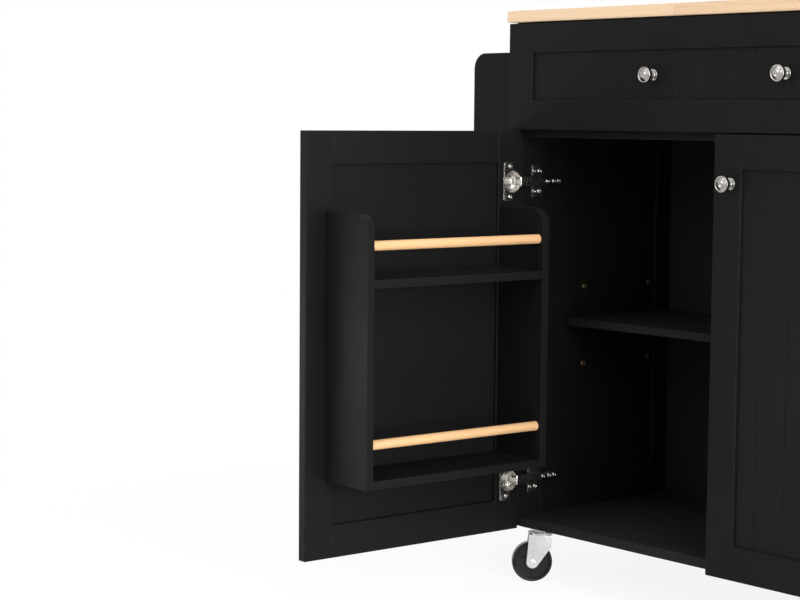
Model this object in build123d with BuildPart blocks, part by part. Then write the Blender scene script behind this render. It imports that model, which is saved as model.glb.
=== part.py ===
from build123d import *
from math import cos, radians, sin
import os

# Rolling kitchen island: a frame-and-panel cabinet on four swivel casters, with a full-width drawer,
# two overlay doors on cup hinges, spice racks on one door and one side, and a solid wood worktop.
# Lengths are millimetres and angles are degrees. X runs along the front from left to right, Y runs
# from front to back, and Z is up from the floor.

# Carcass
carcass_width = 852.0
carcass_depth = 368.0
carcass_height = 806.0
side_thickness = 16.0
side_stile_width = 50.0
side_top_rail = 50.0
side_bottom_rail = 66.0
side_panel_thickness = 9.0
side_panel_recess = 5.0
side_bevel = 0.8
floor_thickness = 15.0
divider_thickness = 15.0
divider_showing = 12.0
back_thickness = 5.0
back_setback = 9.0
stretcher_depth = 60.0
stretcher_thickness = 15.0

# Worktop
top_thickness = 18.0
top_overhang = 2.0
top_bevel = 1.5

# Framed fronts
front_thickness = 16.0
front_gap = 3.0
front_reveal = 3.5
door_gap = 3.0
drawer_gap = 2.0
drawer_reveal = 2.0
top_reveal = 2.0
drawer_front_height = 166.0
door_overhang = 3.0
door_stile = 50.0
door_rail = 50.0
drawer_stile = 52.0
drawer_rail = 46.0
front_panel_thickness = 6.0
front_panel_recess = 5.0
front_bevel = 1.0
plank_pitch = 50.8
plank_groove = 1.6

# Joinery
joint_gap = 0.1
joint_groove = 0.8
groove_depth = 6.0
groove_clearance = 0.15

# Cup hinges
hinge_inset = 80.0
door_open_angle = 92.5
pivot_from_edge = 8.0
pivot_depth = 9.0
cup_from_edge = 4.0
cup_radius = 17.5
cup_depth = 12.2
cup_wall = 0.6
cup_flange_lip = 1.2
cup_flange_thickness = 1.0
cup_wing_width = 21.0
cup_wing_length = 62.0
cup_wing_shift = 7.5
cup_wing_rounding = 4.0
cup_screw_spacing = 48.0
cup_screw_shift = 4.0
hinge_lug_spacing = 10.0
hinge_lug_thickness = 1.0
hinge_lug_width = 5.0
hinge_lug_rise = 2.2
hinge_pin_radius = 1.25
hinge_pin_clearance = 0.05
hinge_eye_radius = 2.2
arm_sheet = 2.2
arm_nose_width = 7.0
arm_width = 15.0
arm_rear_width = 8.0
arm_reach = 13.0
arm_length = 89.0
arm_front_length = 55.0
arm_bend = 1.8
arm_screw_back = (5.0, 16.0, 30.0)
plate_setback = 20.0
plate_thickness = 2.0
plate_wing_depth = 24.0
plate_wing_span = 51.0
plate_rib_setback = 26.0
plate_rib_length = 48.0
plate_rib_width = 9.0
plate_screw_spacing = 32.0
plate_screw_setbacks = (25.0, 37.0)
screw_head_radius = 3.4
screw_head_height = 1.4
screw_radius = 1.7
screw_length = 9.0
screw_clearance = 0.1
fastener_sides = 6

# Spice racks
door_rack_depth = 103.0
side_rack_depth = 100.0
rack_board = 12.0
rack_corner_radius = 25.0
rack_shelf_drop = 96.0
rail_diameter = 14.5
rail_from_front = 12.0
upper_rail_drop = 47.0
lower_rail_rise = 64.0
rail_socket = 6.0
rail_clearance = 0.1
door_rack_edge_gap = 36.0
door_rack_hinge_gap = 35.0
rack_above_gap = 7.0
rack_below_gap = 8.0
side_rack_drop = 46.0
side_rack_setback = 1.0
side_rack_back_gap = 17.0

# Adjustable shelf
shelf_thickness = 12.0
shelf_setback = 108.5
shelf_side_gap = 1.0
pin_row_pitch = 64.0
pin_row_height = 316.5
pin_shelf_inset = 42.5
pin_stile_gap = 11.0
pin_radius = 2.5
sleeve_radius = 3.8
sleeve_depth = 7.0
sleeve_sides = 8
pin_clearance = 0.05
pin_insert = 6.0
pin_pad = 8.0
pin_pad_thickness = 1.5

# Drawer box
drawer_back_gap = 17.0
drawer_side_height = 108.0
drawer_board = 12.0
drawer_bottom_thickness = 4.0
drawer_bottom_rise = 8.0
drawer_front_groove = 4.0
drawer_lift = 16.0
runner_space = 12.7
runner_height = 36.0
runner_sheet = 1.2
runner_flange = 10.0
runner_setback = 2.0
runner_back_gap = 2.0
runner_clearance = 0.5
runner_rise = 36.0

# Knobs
knob_radius = 12.0
knob_projection = 25.0
knob_rim_height = 17.0
knob_rim_width = 3.5
knob_base_radius = 9.0
knob_base_height = 2.5
knob_neck_radius = 5.0
knob_neck_height = 6.0
knob_head_height = 14.5
knob_head_radius = 9.0
knob_crown_height = 23.5
knob_crown_radius = 7.5
drawer_knob_inset = 303.5
door_knob_inset = 31.0
door_knob_drop = 70.0

# Casters
caster_height = 90.0
caster_inset_x = 42.5
caster_inset_y = 29.5
caster_heading = 229.5
caster_trail = 15.5
wheel_radius = 32.5
wheel_width = 21.0
wheel_rim = 5.0
wheel_bevel = 2.0
wheel_dish = 4.5
spoke_count = 6
spoke_width = 3.0
spoke_rise = 3.0
hub_radius = 8.0
axle_radius = 4.0
axle_clearance = 0.06
axle_head_radius = 5.5
axle_head_height = 1.5
fork_sheet = 2.5
fork_clearance = 1.2
fork_bend = 5.0
fork_half_width = 21.0
fork_rear_width = 15.0
fork_straight = 22.0
fork_boss_radius = 9.7
raceway_radius = 20.0
raceway_height = 7.0
raceway_gap = 0.3
kingpin_radius = 5.0
kingpin_head_radius = 8.0
kingpin_head = 2.0
kingpin_clearance = 0.05
caster_plate_x = 60.0
caster_plate_y = 46.0
caster_plate_thickness = 2.5
caster_plate_rounding = 4.0
caster_hole_x = 46.0
caster_hole_y = 32.0

knob_rim_top = knob_rim_height + knob_rim_width

# Closed and open places of a door's hinge-side inner corner follow from the pivot
open_sine, open_cosine = sin(radians(door_open_angle)), cos(radians(door_open_angle))
open_corner_x = front_reveal + pivot_from_edge * (1 - open_cosine) + pivot_depth * open_sine
open_corner_y = front_thickness - pivot_depth * (1 - open_cosine) + pivot_from_edge * open_sine

# The origin is on the floor, under the centre of the box round the island with its left door open
door_width = (carcass_width - door_gap) / 2 - front_reveal
door_reach = door_width * open_sine - open_corner_y
depth_behind = front_thickness + front_gap + carcass_depth + top_overhang
left_face = (side_rack_depth - carcass_width - top_overhang) / 2
right_face = left_face + carcass_width
middle_x = left_face + carcass_width / 2
front_face = (door_reach - depth_behind) / 2
front_back = front_face + front_thickness
carcass_front = front_back + front_gap
carcass_back = carcass_front + carcass_depth
back_inner = carcass_back - back_setback - back_thickness
drawer_width = carcass_width - 2 * drawer_reveal
drawer_depth = back_inner - front_back - drawer_back_gap
runner_length = back_inner - carcass_front - runner_setback - runner_back_gap

# Heights
carcass_bottom = caster_height
carcass_top = carcass_bottom + carcass_height
floor_top = carcass_bottom + floor_thickness
drawer_front_top = carcass_top - top_reveal
drawer_front_bottom = drawer_front_top - drawer_front_height
divider_bottom = drawer_front_bottom - divider_showing
divider_top = divider_bottom + divider_thickness
door_top = drawer_front_bottom - drawer_gap
door_bottom = carcass_bottom - door_overhang
door_height = door_top - door_bottom
stretcher_bottom = carcass_top - stretcher_thickness

# The door rack fits between the hinges, and both racks have its height
door_rack_drop = hinge_inset + cup_wing_length / 2 + rack_above_gap
door_rack_rise = hinge_inset + cup_wing_length / 2 + rack_below_gap
rack_height = door_height - door_rack_drop - door_rack_rise
door_rack_width = door_width - door_rack_edge_gap - door_rack_hinge_gap
side_rack_width = carcass_depth - side_rack_setback - side_rack_back_gap

# Inner faces
inner_left = left_face + side_thickness
inner_right = right_face - side_thickness

# The two styles of framed panel
side_style = {"thickness": side_thickness, "panel": side_panel_thickness, "recess": side_panel_recess,
              "bevel": side_bevel, "planked": False}
front_style = {"thickness": front_thickness, "panel": front_panel_thickness, "recess": front_panel_recess,
               "bevel": front_bevel, "planked": True}

os.makedirs("parts", exist_ok=True)


def save(piece, name):
    """Label a finished piece and write it as one STEP file."""
    piece.part.label = name
    export_step(piece.part, f"parts/{name}.step")


def level(base, z):
    """A plane at a height of a base plane, for outlines in its X and Y that extrude along its Z."""
    return Plane(origin=base.from_local_coords((0, 0, z)), x_dir=base.x_dir, z_dir=base.z_dir)


def upright(base, x):
    """A plane across a base plane, for outlines in its Y and Z that extrude along its X."""
    return Plane(origin=base.from_local_coords((x, 0, 0)), x_dir=base.y_dir, z_dir=base.x_dir)


def facing(base, y):
    """A plane along a base plane, for outlines in its X and Z that extrude against its Y."""
    return Plane(origin=base.from_local_coords((0, y, 0)), x_dir=base.x_dir, z_dir=-base.y_dir)


def block(plane, x, y, amount, mode=Mode.ADD):
    """Extrude the rectangle between two x and two y values of a plane."""
    with BuildSketch(plane) as outline:
        with Locations(((x[0] + x[1]) / 2, (y[0] + y[1]) / 2)):
            Rectangle(abs(x[1] - x[0]), abs(y[1] - y[0]))
    extrude(outline.sketch, amount=amount, mode=mode)


def rods(plane, points, radius, amount, mode=Mode.ADD):
    """Extrude a circle at each point of a plane."""
    with BuildSketch(plane) as outline:
        with Locations(*points):
            Circle(radius)
    extrude(outline.sketch, amount=amount, mode=mode)


def prisms(plane, points, radius, sides, amount, mode=Mode.ADD):
    """Extrude a regular outline round a circle at each point of a plane, the plain form of small parts."""
    with BuildSketch(plane) as outline:
        with Locations(*points):
            RegularPolygon(radius, sides, major_radius=False)
    extrude(outline.sketch, amount=amount, mode=mode)


def screws(plane, points):
    """Screws on a face whose plane points into it: heads on the face and shanks in the holes."""
    prisms(plane, points, screw_head_radius, fastener_sides, -screw_head_height)
    prisms(plane, points, screw_radius, fastener_sides, screw_length)


def screw_holes(plane, points, depth):
    """Cut the holes that screws on a plane pass through or bite into."""
    prisms(plane, points, screw_radius + screw_clearance, fastener_sides, depth, Mode.SUBTRACT)


def board(name, x, y, z):
    """Write a plain board between two x, two y and two z values."""
    with BuildPart() as plain:
        block(Plane.XY.offset(z[0]), x, y, z[1] - z[0])
    save(plain, name)


def add_frame(base, size, stile, rails, style):
    """Add two stiles and two rails, grooved for a panel, to the part being built. The base is at the
    lower left corner of the inner face, with Y inwards. Returns the opening's x and z values."""
    width, height = size
    opening_x = (stile, width - stile)
    opening_z = (rails[0], height - rails[1])
    pocket = groove_depth + groove_clearance
    with BuildSketch(level(base, 0)) as footprint:
        with Locations((width / 2, -style["thickness"] / 2)):
            Rectangle(width, style["thickness"])
    slab = extrude(footprint.sketch, amount=height)
    chamfer(slab.edges(), style["bevel"])
    block(facing(base, 0), opening_x, opening_z, style["thickness"], Mode.SUBTRACT)
    rim = edges(Select.LAST)
    chamfer(rim - rim.filter_by(Axis((0, 0, 0), base.y_dir)), style["bevel"])
    groove_x = (opening_x[0] - pocket, opening_x[1] + pocket)
    groove_z = (opening_z[0] - pocket, opening_z[1] + pocket)
    groove_width = style["panel"] + 2 * groove_clearance
    block(facing(base, groove_clearance - style["recess"]), groove_x, groove_z, groove_width, Mode.SUBTRACT)
    for joint_x in (opening_x[0] - joint_gap, opening_x[1]):
        for rail_z in ((0, opening_z[0]), (opening_z[1], height)):
            block(facing(base, 0), (joint_x, joint_x + joint_gap), rail_z, style["thickness"], Mode.SUBTRACT)
            with BuildSketch(level(base, rail_z[0])) as face_lines:
                with Locations((joint_x + joint_gap / 2, 0), (joint_x + joint_gap / 2, -style["thickness"])):
                    Rectangle(joint_groove, joint_groove, rotation=45)
            extrude(face_lines.sketch, amount=rail_z[1] - rail_z[0], mode=Mode.SUBTRACT)
    return opening_x, opening_z


def add_panel(base, opening_x, opening_z, style):
    """Add the panel that fills a frame, planked on its outer face where the style has planks."""
    panel_x = (opening_x[0] - groove_depth, opening_x[1] + groove_depth)
    panel_z = (opening_z[0] - groove_depth, opening_z[1] + groove_depth)
    block(facing(base, -style["recess"]), panel_x, panel_z, style["panel"])
    if style["planked"]:
        half_opening = (opening_x[1] - opening_x[0]) / 2
        half_joints = round(half_opening / plank_pitch)
        outer_face = -style["recess"] - style["panel"]
        with BuildSketch(level(base, panel_z[0])) as grooves:
            with Locations((opening_x[0] + half_opening, outer_face)):
                with GridLocations(plank_pitch, plank_pitch, 2 * half_joints, 1):
                    Rectangle(plank_groove, plank_groove, rotation=45)
        extrude(grooves.sketch, amount=panel_z[1] - panel_z[0], mode=Mode.SUBTRACT)


def side_plane(side):
    """The plane at the lower left corner of a carcass side's inner face."""
    if side == "left":
        return Plane(origin=(inner_left, carcass_back, carcass_bottom), x_dir=(0, -1, 0), z_dir=(0, 0, 1))
    return Plane(origin=(inner_right, carcass_front, carcass_bottom), x_dir=(0, 1, 0), z_dir=(0, 0, 1))


def along_side(side, distance):
    """A distance back from a carcass side's front edge, as an x of its plane."""
    return carcass_depth - distance if side == "left" else distance


def door_plane(side):
    """The plane at the lower left corner of a door's inner face: left door open, right door shut."""
    if side == "left":
        corner = (left_face + open_corner_x, front_face + open_corner_y, door_bottom)
        return Plane(origin=corner, x_dir=(open_cosine, -open_sine, 0), z_dir=(0, 0, 1))
    corner = (right_face - front_reveal - door_width, front_back, door_bottom)
    return Plane(origin=corner, x_dir=(1, 0, 0), z_dir=(0, 0, 1))


def along_door(side, distance):
    """A distance from a door's hinge edge, as an x of its plane."""
    return distance if side == "left" else door_width - distance


def add_knob(base, x, face_y, z):
    """Add a turned knob that stands out from a face of a base plane."""
    centre = base.from_local_coords((x, face_y, z))
    turning = Plane(origin=centre, x_dir=base.x_dir, z_dir=base.z_dir)
    with BuildSketch(turning) as profile:
        with BuildLine():
            Polyline((0, 0), (knob_base_radius, 0), (knob_base_radius, -knob_base_height),
                     (knob_neck_radius, -knob_neck_height), (knob_head_radius, -knob_head_height),
                     (knob_radius, -knob_rim_height), (knob_radius, -knob_rim_top),
                     (knob_crown_radius, -knob_crown_height), (0, -knob_projection), close=True)
        make_face()
    revolve(profile.sketch, axis=Axis(centre, base.y_dir))


def rack(names, base, width, depth):
    """Write a two-tier rack: end boards, shelves and round rails. The base is at its lower back
    corner, with X along its width and Y outwards."""
    rail_y = depth - rail_from_front
    rail_points = ((rail_y, rack_height - upper_rail_drop), (rail_y, lower_rail_rise))
    inner = (rack_board, width - rack_board)
    ends = ((names[0], 0, inner[0], -rail_socket), (names[1], inner[1], inner[1], rail_socket))
    for name, near_x, socket_x, socket in ends:
        with BuildPart() as end_board:
            with BuildSketch(upright(base, near_x)) as outline:
                with BuildLine():
                    FilletPolyline((0, rack_height), (depth, rack_height), (depth, 0),
                                   radius=rack_corner_radius)
                    Polyline((depth, 0), (0, 0), (0, rack_height))
                make_face()
            extrude(outline.sketch, amount=rack_board)
            socket_radius = rail_diameter / 2 + rail_clearance
            rods(upright(base, socket_x), rail_points, socket_radius, socket, Mode.SUBTRACT)
        save(end_board, name)

    for name, shelf_top in ((names[2], rack_height - rack_shelf_drop), (names[3], rack_board)):
        with BuildPart() as shelf:
            block(level(base, shelf_top - rack_board), inner, (0, depth), rack_board)
        save(shelf, name)

    rail_start = rack_board - rail_socket + rail_clearance
    with BuildPart() as rails:
        rods(upright(base, rail_start), rail_points, rail_diameter / 2, width - 2 * rail_start)
    save(rails, names[4])


# Worktop
with BuildPart() as worktop:
    top_x = (left_face - top_overhang, right_face + top_overhang)
    top_y = (front_face - top_overhang, carcass_back + top_overhang)
    block(Plane.XY.offset(carcass_top), top_x, top_y, top_thickness)
    chamfer(worktop.edges(), top_bevel)
save(worktop, "worktop")

# Carcass sides, with grooves for the back panel and holes for the hinge screws and shelf sleeves
hinge_heights = (door_bottom + hinge_inset, door_top - hinge_inset)
pin_rows = [carcass_bottom + pin_row_height + pin_row_pitch * i for i in (-1, 0, 1)]
pin_depths = (shelf_setback + pin_shelf_inset, carcass_depth - side_stile_width - pin_stile_gap)
plate_screw_places = [(setback, height + rise)
                      for setback in plate_screw_setbacks
                      for height in hinge_heights
                      for rise in (-plate_screw_spacing / 2, plate_screw_spacing / 2)]
for side in ("left", "right"):
    inner_face = side_plane(side)
    with BuildPart() as side_frame:
        opening_x, opening_z = add_frame(inner_face, (carcass_depth, carcass_height), side_stile_width,
                                         (side_bottom_rail, side_top_rail), side_style)
        back_groove = [along_side(side, carcass_depth - back_setback + groove_clearance),
                       along_side(side, carcass_depth - back_setback - back_thickness - groove_clearance)]
        block(level(inner_face, 0), back_groove, (-groove_depth - groove_clearance, 0), carcass_height,
              Mode.SUBTRACT)
        screw_points = [(along_side(side, x), z - carcass_bottom) for x, z in plate_screw_places]
        screw_holes(facing(inner_face, 0), screw_points, screw_length + screw_clearance)
    save(side_frame, f"{side}_side_frame")

    with BuildPart() as side_panel:
        add_panel(inner_face, opening_x, opening_z, side_style)
        sleeve_points = [(along_side(side, x), z - carcass_bottom) for x in pin_depths for z in pin_rows]
        prisms(facing(inner_face, -side_panel_recess), sleeve_points, sleeve_radius + pin_clearance,
               sleeve_sides, sleeve_depth, Mode.SUBTRACT)
    save(side_panel, f"{side}_side_panel")

# Boards between the sides
inner_x = (inner_left, inner_right)
inner_y = (carcass_front, back_inner)
board("drawer_divider", inner_x, inner_y, (divider_bottom, divider_top))
back_x = (inner_left - groove_depth, inner_right + groove_depth)
board("back_panel", back_x, (back_inner, back_inner + back_thickness), (floor_top, carcass_top))
with BuildPart() as top_rails:
    for rail_y in (carcass_front, back_inner - stretcher_depth):
        block(Plane.XY.offset(stretcher_bottom), inner_x, (rail_y, rail_y + stretcher_depth),
              stretcher_thickness)
save(top_rails, "top_rails")

caster_places = {
    "front_left": (left_face + caster_inset_x, carcass_front + caster_inset_y),
    "front_right": (right_face - caster_inset_x, carcass_front + caster_inset_y),
    "back_left": (left_face + caster_inset_x, carcass_back - caster_inset_y),
    "back_right": (right_face - caster_inset_x, carcass_back - caster_inset_y),
}
caster_screw_points = [(x + across, y + back)
                       for x, y in caster_places.values()
                       for across in (-caster_hole_x / 2, caster_hole_x / 2)
                       for back in (-caster_hole_y / 2, caster_hole_y / 2)]
with BuildPart() as floor_panel:
    block(Plane.XY.offset(carcass_bottom), inner_x, (carcass_front, carcass_back), floor_thickness)
    screw_holes(Plane.XY.offset(carcass_bottom), caster_screw_points, screw_length)
save(floor_panel, "floor_panel")

# Adjustable shelf on four pins, whose brass sleeves stand in rows for other heights
pin_height = pin_rows[1]
shelf_bottom = pin_height + pin_radius
shelf_x = (inner_left + shelf_side_gap, inner_right - shelf_side_gap)
board("adjustable_shelf", shelf_x, (carcass_front + shelf_setback, back_inner - shelf_side_gap),
      (shelf_bottom, shelf_bottom + shelf_thickness))
with BuildPart() as pin_sleeves:
    for side in ("left", "right"):
        panel_face = facing(side_plane(side), -side_panel_recess)
        sleeve_points = [(along_side(side, x), z - carcass_bottom) for x in pin_depths for z in pin_rows]
        prisms(panel_face, sleeve_points, sleeve_radius, sleeve_sides, sleeve_depth)
        prisms(panel_face, sleeve_points, pin_radius + pin_clearance, sleeve_sides, sleeve_depth,
               Mode.SUBTRACT)
save(pin_sleeves, "pin_sleeves")
with BuildPart() as shelf_pins:
    for side in ("left", "right"):
        inner_face = side_plane(side)
        for depth in pin_depths:
            pin_x = along_side(side, depth)
            pin_z = pin_height - carcass_bottom
            rods(facing(inner_face, pin_pad), [(pin_x, pin_z)], pin_radius,
                 pin_pad + side_panel_recess + pin_insert)
            pad_x = (pin_x - pin_pad / 2, pin_x + pin_pad / 2)
            pad_z = (pin_z + pin_radius - pin_pad_thickness, pin_z + pin_radius)
            block(facing(inner_face, pin_pad), pad_x, pad_z, pin_pad)
save(shelf_pins, "shelf_pins")

# Doors, with cup bores and screw holes on the hinge stile and a knob on the other
door_hinge_rises = (hinge_inset, door_height - hinge_inset)
for side in ("left", "right"):
    inner_face = door_plane(side)
    cup_x = along_door(side, cup_from_edge + cup_radius)
    screw_x = along_door(side, cup_from_edge + cup_radius + cup_screw_shift)
    wing_x = along_door(side, cup_from_edge + cup_radius + cup_wing_shift)
    cup_points = [(cup_x, z) for z in door_hinge_rises]
    screw_points = [(screw_x, z + rise)
                    for z in door_hinge_rises
                    for rise in (-cup_screw_spacing / 2, cup_screw_spacing / 2)]
    flange_face = facing(inner_face, cup_flange_thickness)
    with BuildPart() as door_frame:
        opening_x, opening_z = add_frame(inner_face, (door_width, door_height), door_stile,
                                         (door_rail, door_rail), front_style)
        rods(facing(inner_face, 0), cup_points, cup_radius + screw_clearance,
             cup_depth + screw_clearance, Mode.SUBTRACT)
        screw_holes(facing(inner_face, 0), screw_points, screw_length)
    save(door_frame, f"{side}_door_frame")

    with BuildPart() as door_panel:
        add_panel(inner_face, opening_x, opening_z, front_style)
    save(door_panel, f"{side}_door_panel")

    with BuildPart() as door_knob:
        add_knob(inner_face, along_door(side, door_width - door_knob_inset), -front_thickness,
                 door_height - door_knob_drop)
    save(door_knob, f"{side}_door_knob")

    pivot = (along_door(side, pivot_from_edge), -pivot_depth)
    with BuildPart() as hinge_cups:
        with BuildSketch(flange_face) as flange:
            with Locations(*cup_points):
                Circle(cup_radius + cup_flange_lip)
            with Locations(*[(wing_x, z) for z in door_hinge_rises]):
                RectangleRounded(cup_wing_width, cup_wing_length, cup_wing_rounding)
        extrude(flange.sketch, amount=cup_flange_thickness)
        rods(facing(inner_face, 0), cup_points, cup_radius, cup_depth)
        rods(flange_face, cup_points, cup_radius - cup_wall,
             cup_flange_thickness + cup_depth - cup_wall, Mode.SUBTRACT)
        screw_holes(flange_face, screw_points, cup_flange_thickness)
        lug_x = (along_door(side, pivot_from_edge - hinge_lug_width / 2),
                 along_door(side, pivot_from_edge + hinge_lug_width / 2))
        lug_y = (-cup_depth + cup_wall / 2, -pivot_depth + hinge_lug_rise)
        for z in door_hinge_rises:
            for lug_z in (z - hinge_lug_spacing / 2 - hinge_lug_thickness, z + hinge_lug_spacing / 2):
                block(level(inner_face, lug_z), lug_x, lug_y, hinge_lug_thickness)
            rods(level(inner_face, z - hinge_lug_spacing), [pivot], hinge_pin_radius + hinge_pin_clearance,
                 2 * hinge_lug_spacing, Mode.SUBTRACT)
    save(hinge_cups, f"{side}_hinge_cups")

    with BuildPart() as hinge_pins:
        pin_half = hinge_lug_spacing / 2 + hinge_lug_thickness
        for z in door_hinge_rises:
            rods(level(inner_face, z - pin_half), [pivot], hinge_pin_radius, 2 * pin_half)
    save(hinge_pins, f"{side}_hinge_pins")

    with BuildPart() as cup_screws:
        screws(flange_face, screw_points)
    save(cup_screws, f"{side}_cup_screws")

# Hinge plates and arms on the carcass sides, drawn for the left one and mirrored for the right
eye_x = left_face + front_reveal + pivot_from_edge
eye_y = front_back - pivot_depth
arm_x = eye_x + arm_reach
arm_end = eye_y + arm_length
tail_start = eye_y + arm_front_length
middle = Plane.YZ.offset(middle_x)
plate_face = Plane(origin=(inner_left + plate_thickness, 0, 0), x_dir=(0, 1, 0), z_dir=(1, 0, 0))
arm_face = Plane(origin=(arm_x + arm_sheet, 0, 0), x_dir=(0, 1, 0), z_dir=(1, 0, 0))
arm_screw_points = [(arm_end - back, z) for back in arm_screw_back for z in hinge_heights]
plate_screw_points = [(carcass_front + setback, z) for setback, z in plate_screw_places]
with BuildPart() as hinge_plates:
    for z in hinge_heights:
        wing_y = (carcass_front + plate_setback, carcass_front + plate_setback + plate_wing_depth)
        wing_z = (z - plate_wing_span / 2, z + plate_wing_span / 2)
        block(plate_face, wing_y, wing_z, -plate_thickness)
        rib_y = (carcass_front + plate_rib_setback, carcass_front + plate_rib_setback + plate_rib_length)
        rib_z = (z - plate_rib_width / 2, z + plate_rib_width / 2)
        block(plate_face, rib_y, rib_z, arm_x - inner_left - plate_thickness)
    screw_holes(plate_face, plate_screw_points, -plate_thickness)
    screw_holes(arm_face, arm_screw_points, -screw_length - arm_sheet)
    mirror(about=middle)
save(hinge_plates, "hinge_plates")

with BuildPart() as hinge_arms:
    with BuildSketch(Plane.XY) as bent_strip:
        with BuildLine():
            nose_front = eye_y - arm_sheet / 2
            nose_back = eye_y + arm_sheet / 2
            arm_outer = arm_x + arm_sheet
            Polyline((eye_x, nose_front), (arm_outer, nose_front), (arm_outer, arm_end), (arm_x, arm_end),
                     (arm_x, nose_back), (eye_x, nose_back), close=True)
        make_face()
        fillet(bent_strip.vertices().sort_by(Axis.Y)[:2].sort_by(Axis.X)[-1], arm_bend)
    for z in hinge_heights:
        nose = Plane.XY.offset(z - arm_nose_width / 2)
        strip = Plane.XY.offset(z - arm_width / 2)
        extrude(strip * bent_strip.sketch, amount=arm_width)
        for tail_z in (z - arm_width / 2, z + arm_rear_width / 2):
            tail_side = (arm_width - arm_rear_width) / 2
            block(Plane.XY.offset(tail_z), (arm_x, arm_outer), (tail_start, arm_end), tail_side,
                  Mode.SUBTRACT)
        for nose_z in (z - arm_width / 2, z + arm_nose_width / 2):
            nose_side = (arm_width - arm_nose_width) / 2
            block(Plane.XY.offset(nose_z), (eye_x, arm_x), (nose_front, nose_back), nose_side,
                  Mode.SUBTRACT)
        rods(nose, [(eye_x, eye_y)], hinge_eye_radius, arm_nose_width)
        rods(nose, [(eye_x, eye_y)], hinge_pin_radius + hinge_pin_clearance, arm_nose_width, Mode.SUBTRACT)
    screw_holes(arm_face, arm_screw_points, -arm_sheet)
    mirror(about=middle)
save(hinge_arms, "hinge_arms")

with BuildPart() as hinge_screws:
    for seat, points in ((plate_face, plate_screw_points), (arm_face, arm_screw_points)):
        prisms(seat, points, screw_head_radius, fastener_sides, screw_head_height)
        prisms(seat, points, screw_radius, fastener_sides, -screw_length)
    mirror(about=middle)
save(hinge_screws, "hinge_screws")

# Racks on the left door's inner face and on the left side's outer face
left_door = door_plane("left")
door_rack_base = Plane(origin=left_door.from_local_coords((door_rack_hinge_gap, 0, door_rack_rise)),
                       x_dir=left_door.x_dir, z_dir=(0, 0, 1))
rack([f"door_rack_{piece}" for piece in ("hinge_board", "free_board", "upper_shelf", "lower_shelf", "rails")],
     door_rack_base, door_rack_width, door_rack_depth)
side_rack_corner = (left_face, carcass_front + side_rack_setback, carcass_top - side_rack_drop - rack_height)
side_rack_base = Plane(origin=side_rack_corner, x_dir=(0, 1, 0), z_dir=(0, 0, 1))
rack([f"side_rack_{piece}" for piece in ("front_board", "back_board", "upper_shelf", "lower_shelf", "rails")],
     side_rack_base, side_rack_width, side_rack_depth)

# Drawer: a framed front on a box whose bottom slides into grooves
drawer_corner = (left_face + drawer_reveal, front_back, drawer_front_bottom)
drawer_face = Plane(origin=drawer_corner, x_dir=(1, 0, 0), z_dir=(0, 0, 1))
drawer_bottom_z = divider_top + drawer_lift
drawer_top_z = drawer_bottom_z + drawer_side_height
bottom_z = drawer_bottom_z + drawer_bottom_rise
bottom_top = bottom_z + drawer_bottom_thickness
drawer_back_y = front_back + drawer_depth
drawer_left = inner_left + runner_space
drawer_right = inner_right - runner_space
box_left = drawer_left + drawer_board
box_right = drawer_right - drawer_board
with BuildPart() as drawer_front_frame:
    opening_x, opening_z = add_frame(drawer_face, (drawer_width, drawer_front_height), drawer_stile,
                                     (drawer_rail, drawer_rail), front_style)
    block(Plane.XY.offset(bottom_z - groove_clearance),
          (box_left - groove_depth - groove_clearance, box_right + groove_depth + groove_clearance),
          (front_back - drawer_front_groove - groove_clearance, front_back),
          drawer_bottom_thickness + 2 * groove_clearance, Mode.SUBTRACT)
save(drawer_front_frame, "drawer_front_frame")
with BuildPart() as drawer_front_panel:
    add_panel(drawer_face, opening_x, opening_z, front_style)
save(drawer_front_panel, "drawer_front_panel")
left_groove_x = (box_left - groove_depth - groove_clearance, box_left)
right_groove_x = (box_right, box_right + groove_depth + groove_clearance)
for side, outer_x, groove_x in (("left", drawer_left, left_groove_x), ("right", box_right, right_groove_x)):
    with BuildPart() as drawer_side:
        block(Plane.XY.offset(drawer_bottom_z), (outer_x, outer_x + drawer_board),
              (front_back, drawer_back_y), drawer_side_height)
        block(Plane.XY.offset(bottom_z - groove_clearance), groove_x, (front_back, drawer_back_y),
              drawer_bottom_thickness + 2 * groove_clearance, Mode.SUBTRACT)
    save(drawer_side, f"drawer_{side}_side")
board("drawer_back", (box_left, box_right), (drawer_back_y - drawer_board, drawer_back_y),
      (bottom_top, drawer_top_z))
board("drawer_bottom", (box_left - groove_depth, box_right + groove_depth),
      (front_back - drawer_front_groove, drawer_back_y), (bottom_z, bottom_top))
with BuildPart() as drawer_knobs:
    left_knob = drawer_knob_inset - drawer_reveal
    for knob_x in (left_knob, drawer_width - left_knob):
        add_knob(drawer_face, knob_x, -front_panel_recess - front_panel_thickness, drawer_front_height / 2)
save(drawer_knobs, "drawer_knobs")

# Drawer runners: channels on the carcass sides with the drawer's slides nested in them
runner_z = drawer_bottom_z + runner_rise
runner_y = (carcass_front + runner_setback, carcass_front + runner_setback + runner_length)
slide_y = (runner_y[0], drawer_back_y)
slide_z = runner_z + runner_sheet + runner_clearance
slide_height = runner_height - 2 * (runner_sheet + runner_clearance)
with BuildPart() as drawer_runners:
    block(Plane.XY.offset(runner_z), (inner_left, inner_left + runner_flange), runner_y, runner_height)
    block(Plane.XY.offset(runner_z + runner_sheet), (inner_left + runner_sheet, inner_left + runner_flange),
          runner_y, runner_height - 2 * runner_sheet, Mode.SUBTRACT)
    mirror(about=middle)
save(drawer_runners, "drawer_runners")
with BuildPart() as drawer_slides:
    block(Plane.XY.offset(slide_z), (drawer_left - runner_flange, drawer_left), slide_y, slide_height)
    block(Plane.XY.offset(slide_z + runner_sheet), (drawer_left - runner_flange, drawer_left - runner_sheet),
          slide_y, slide_height - 2 * runner_sheet, Mode.SUBTRACT)
    mirror(about=middle)
save(drawer_slides, "drawer_slides")

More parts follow.
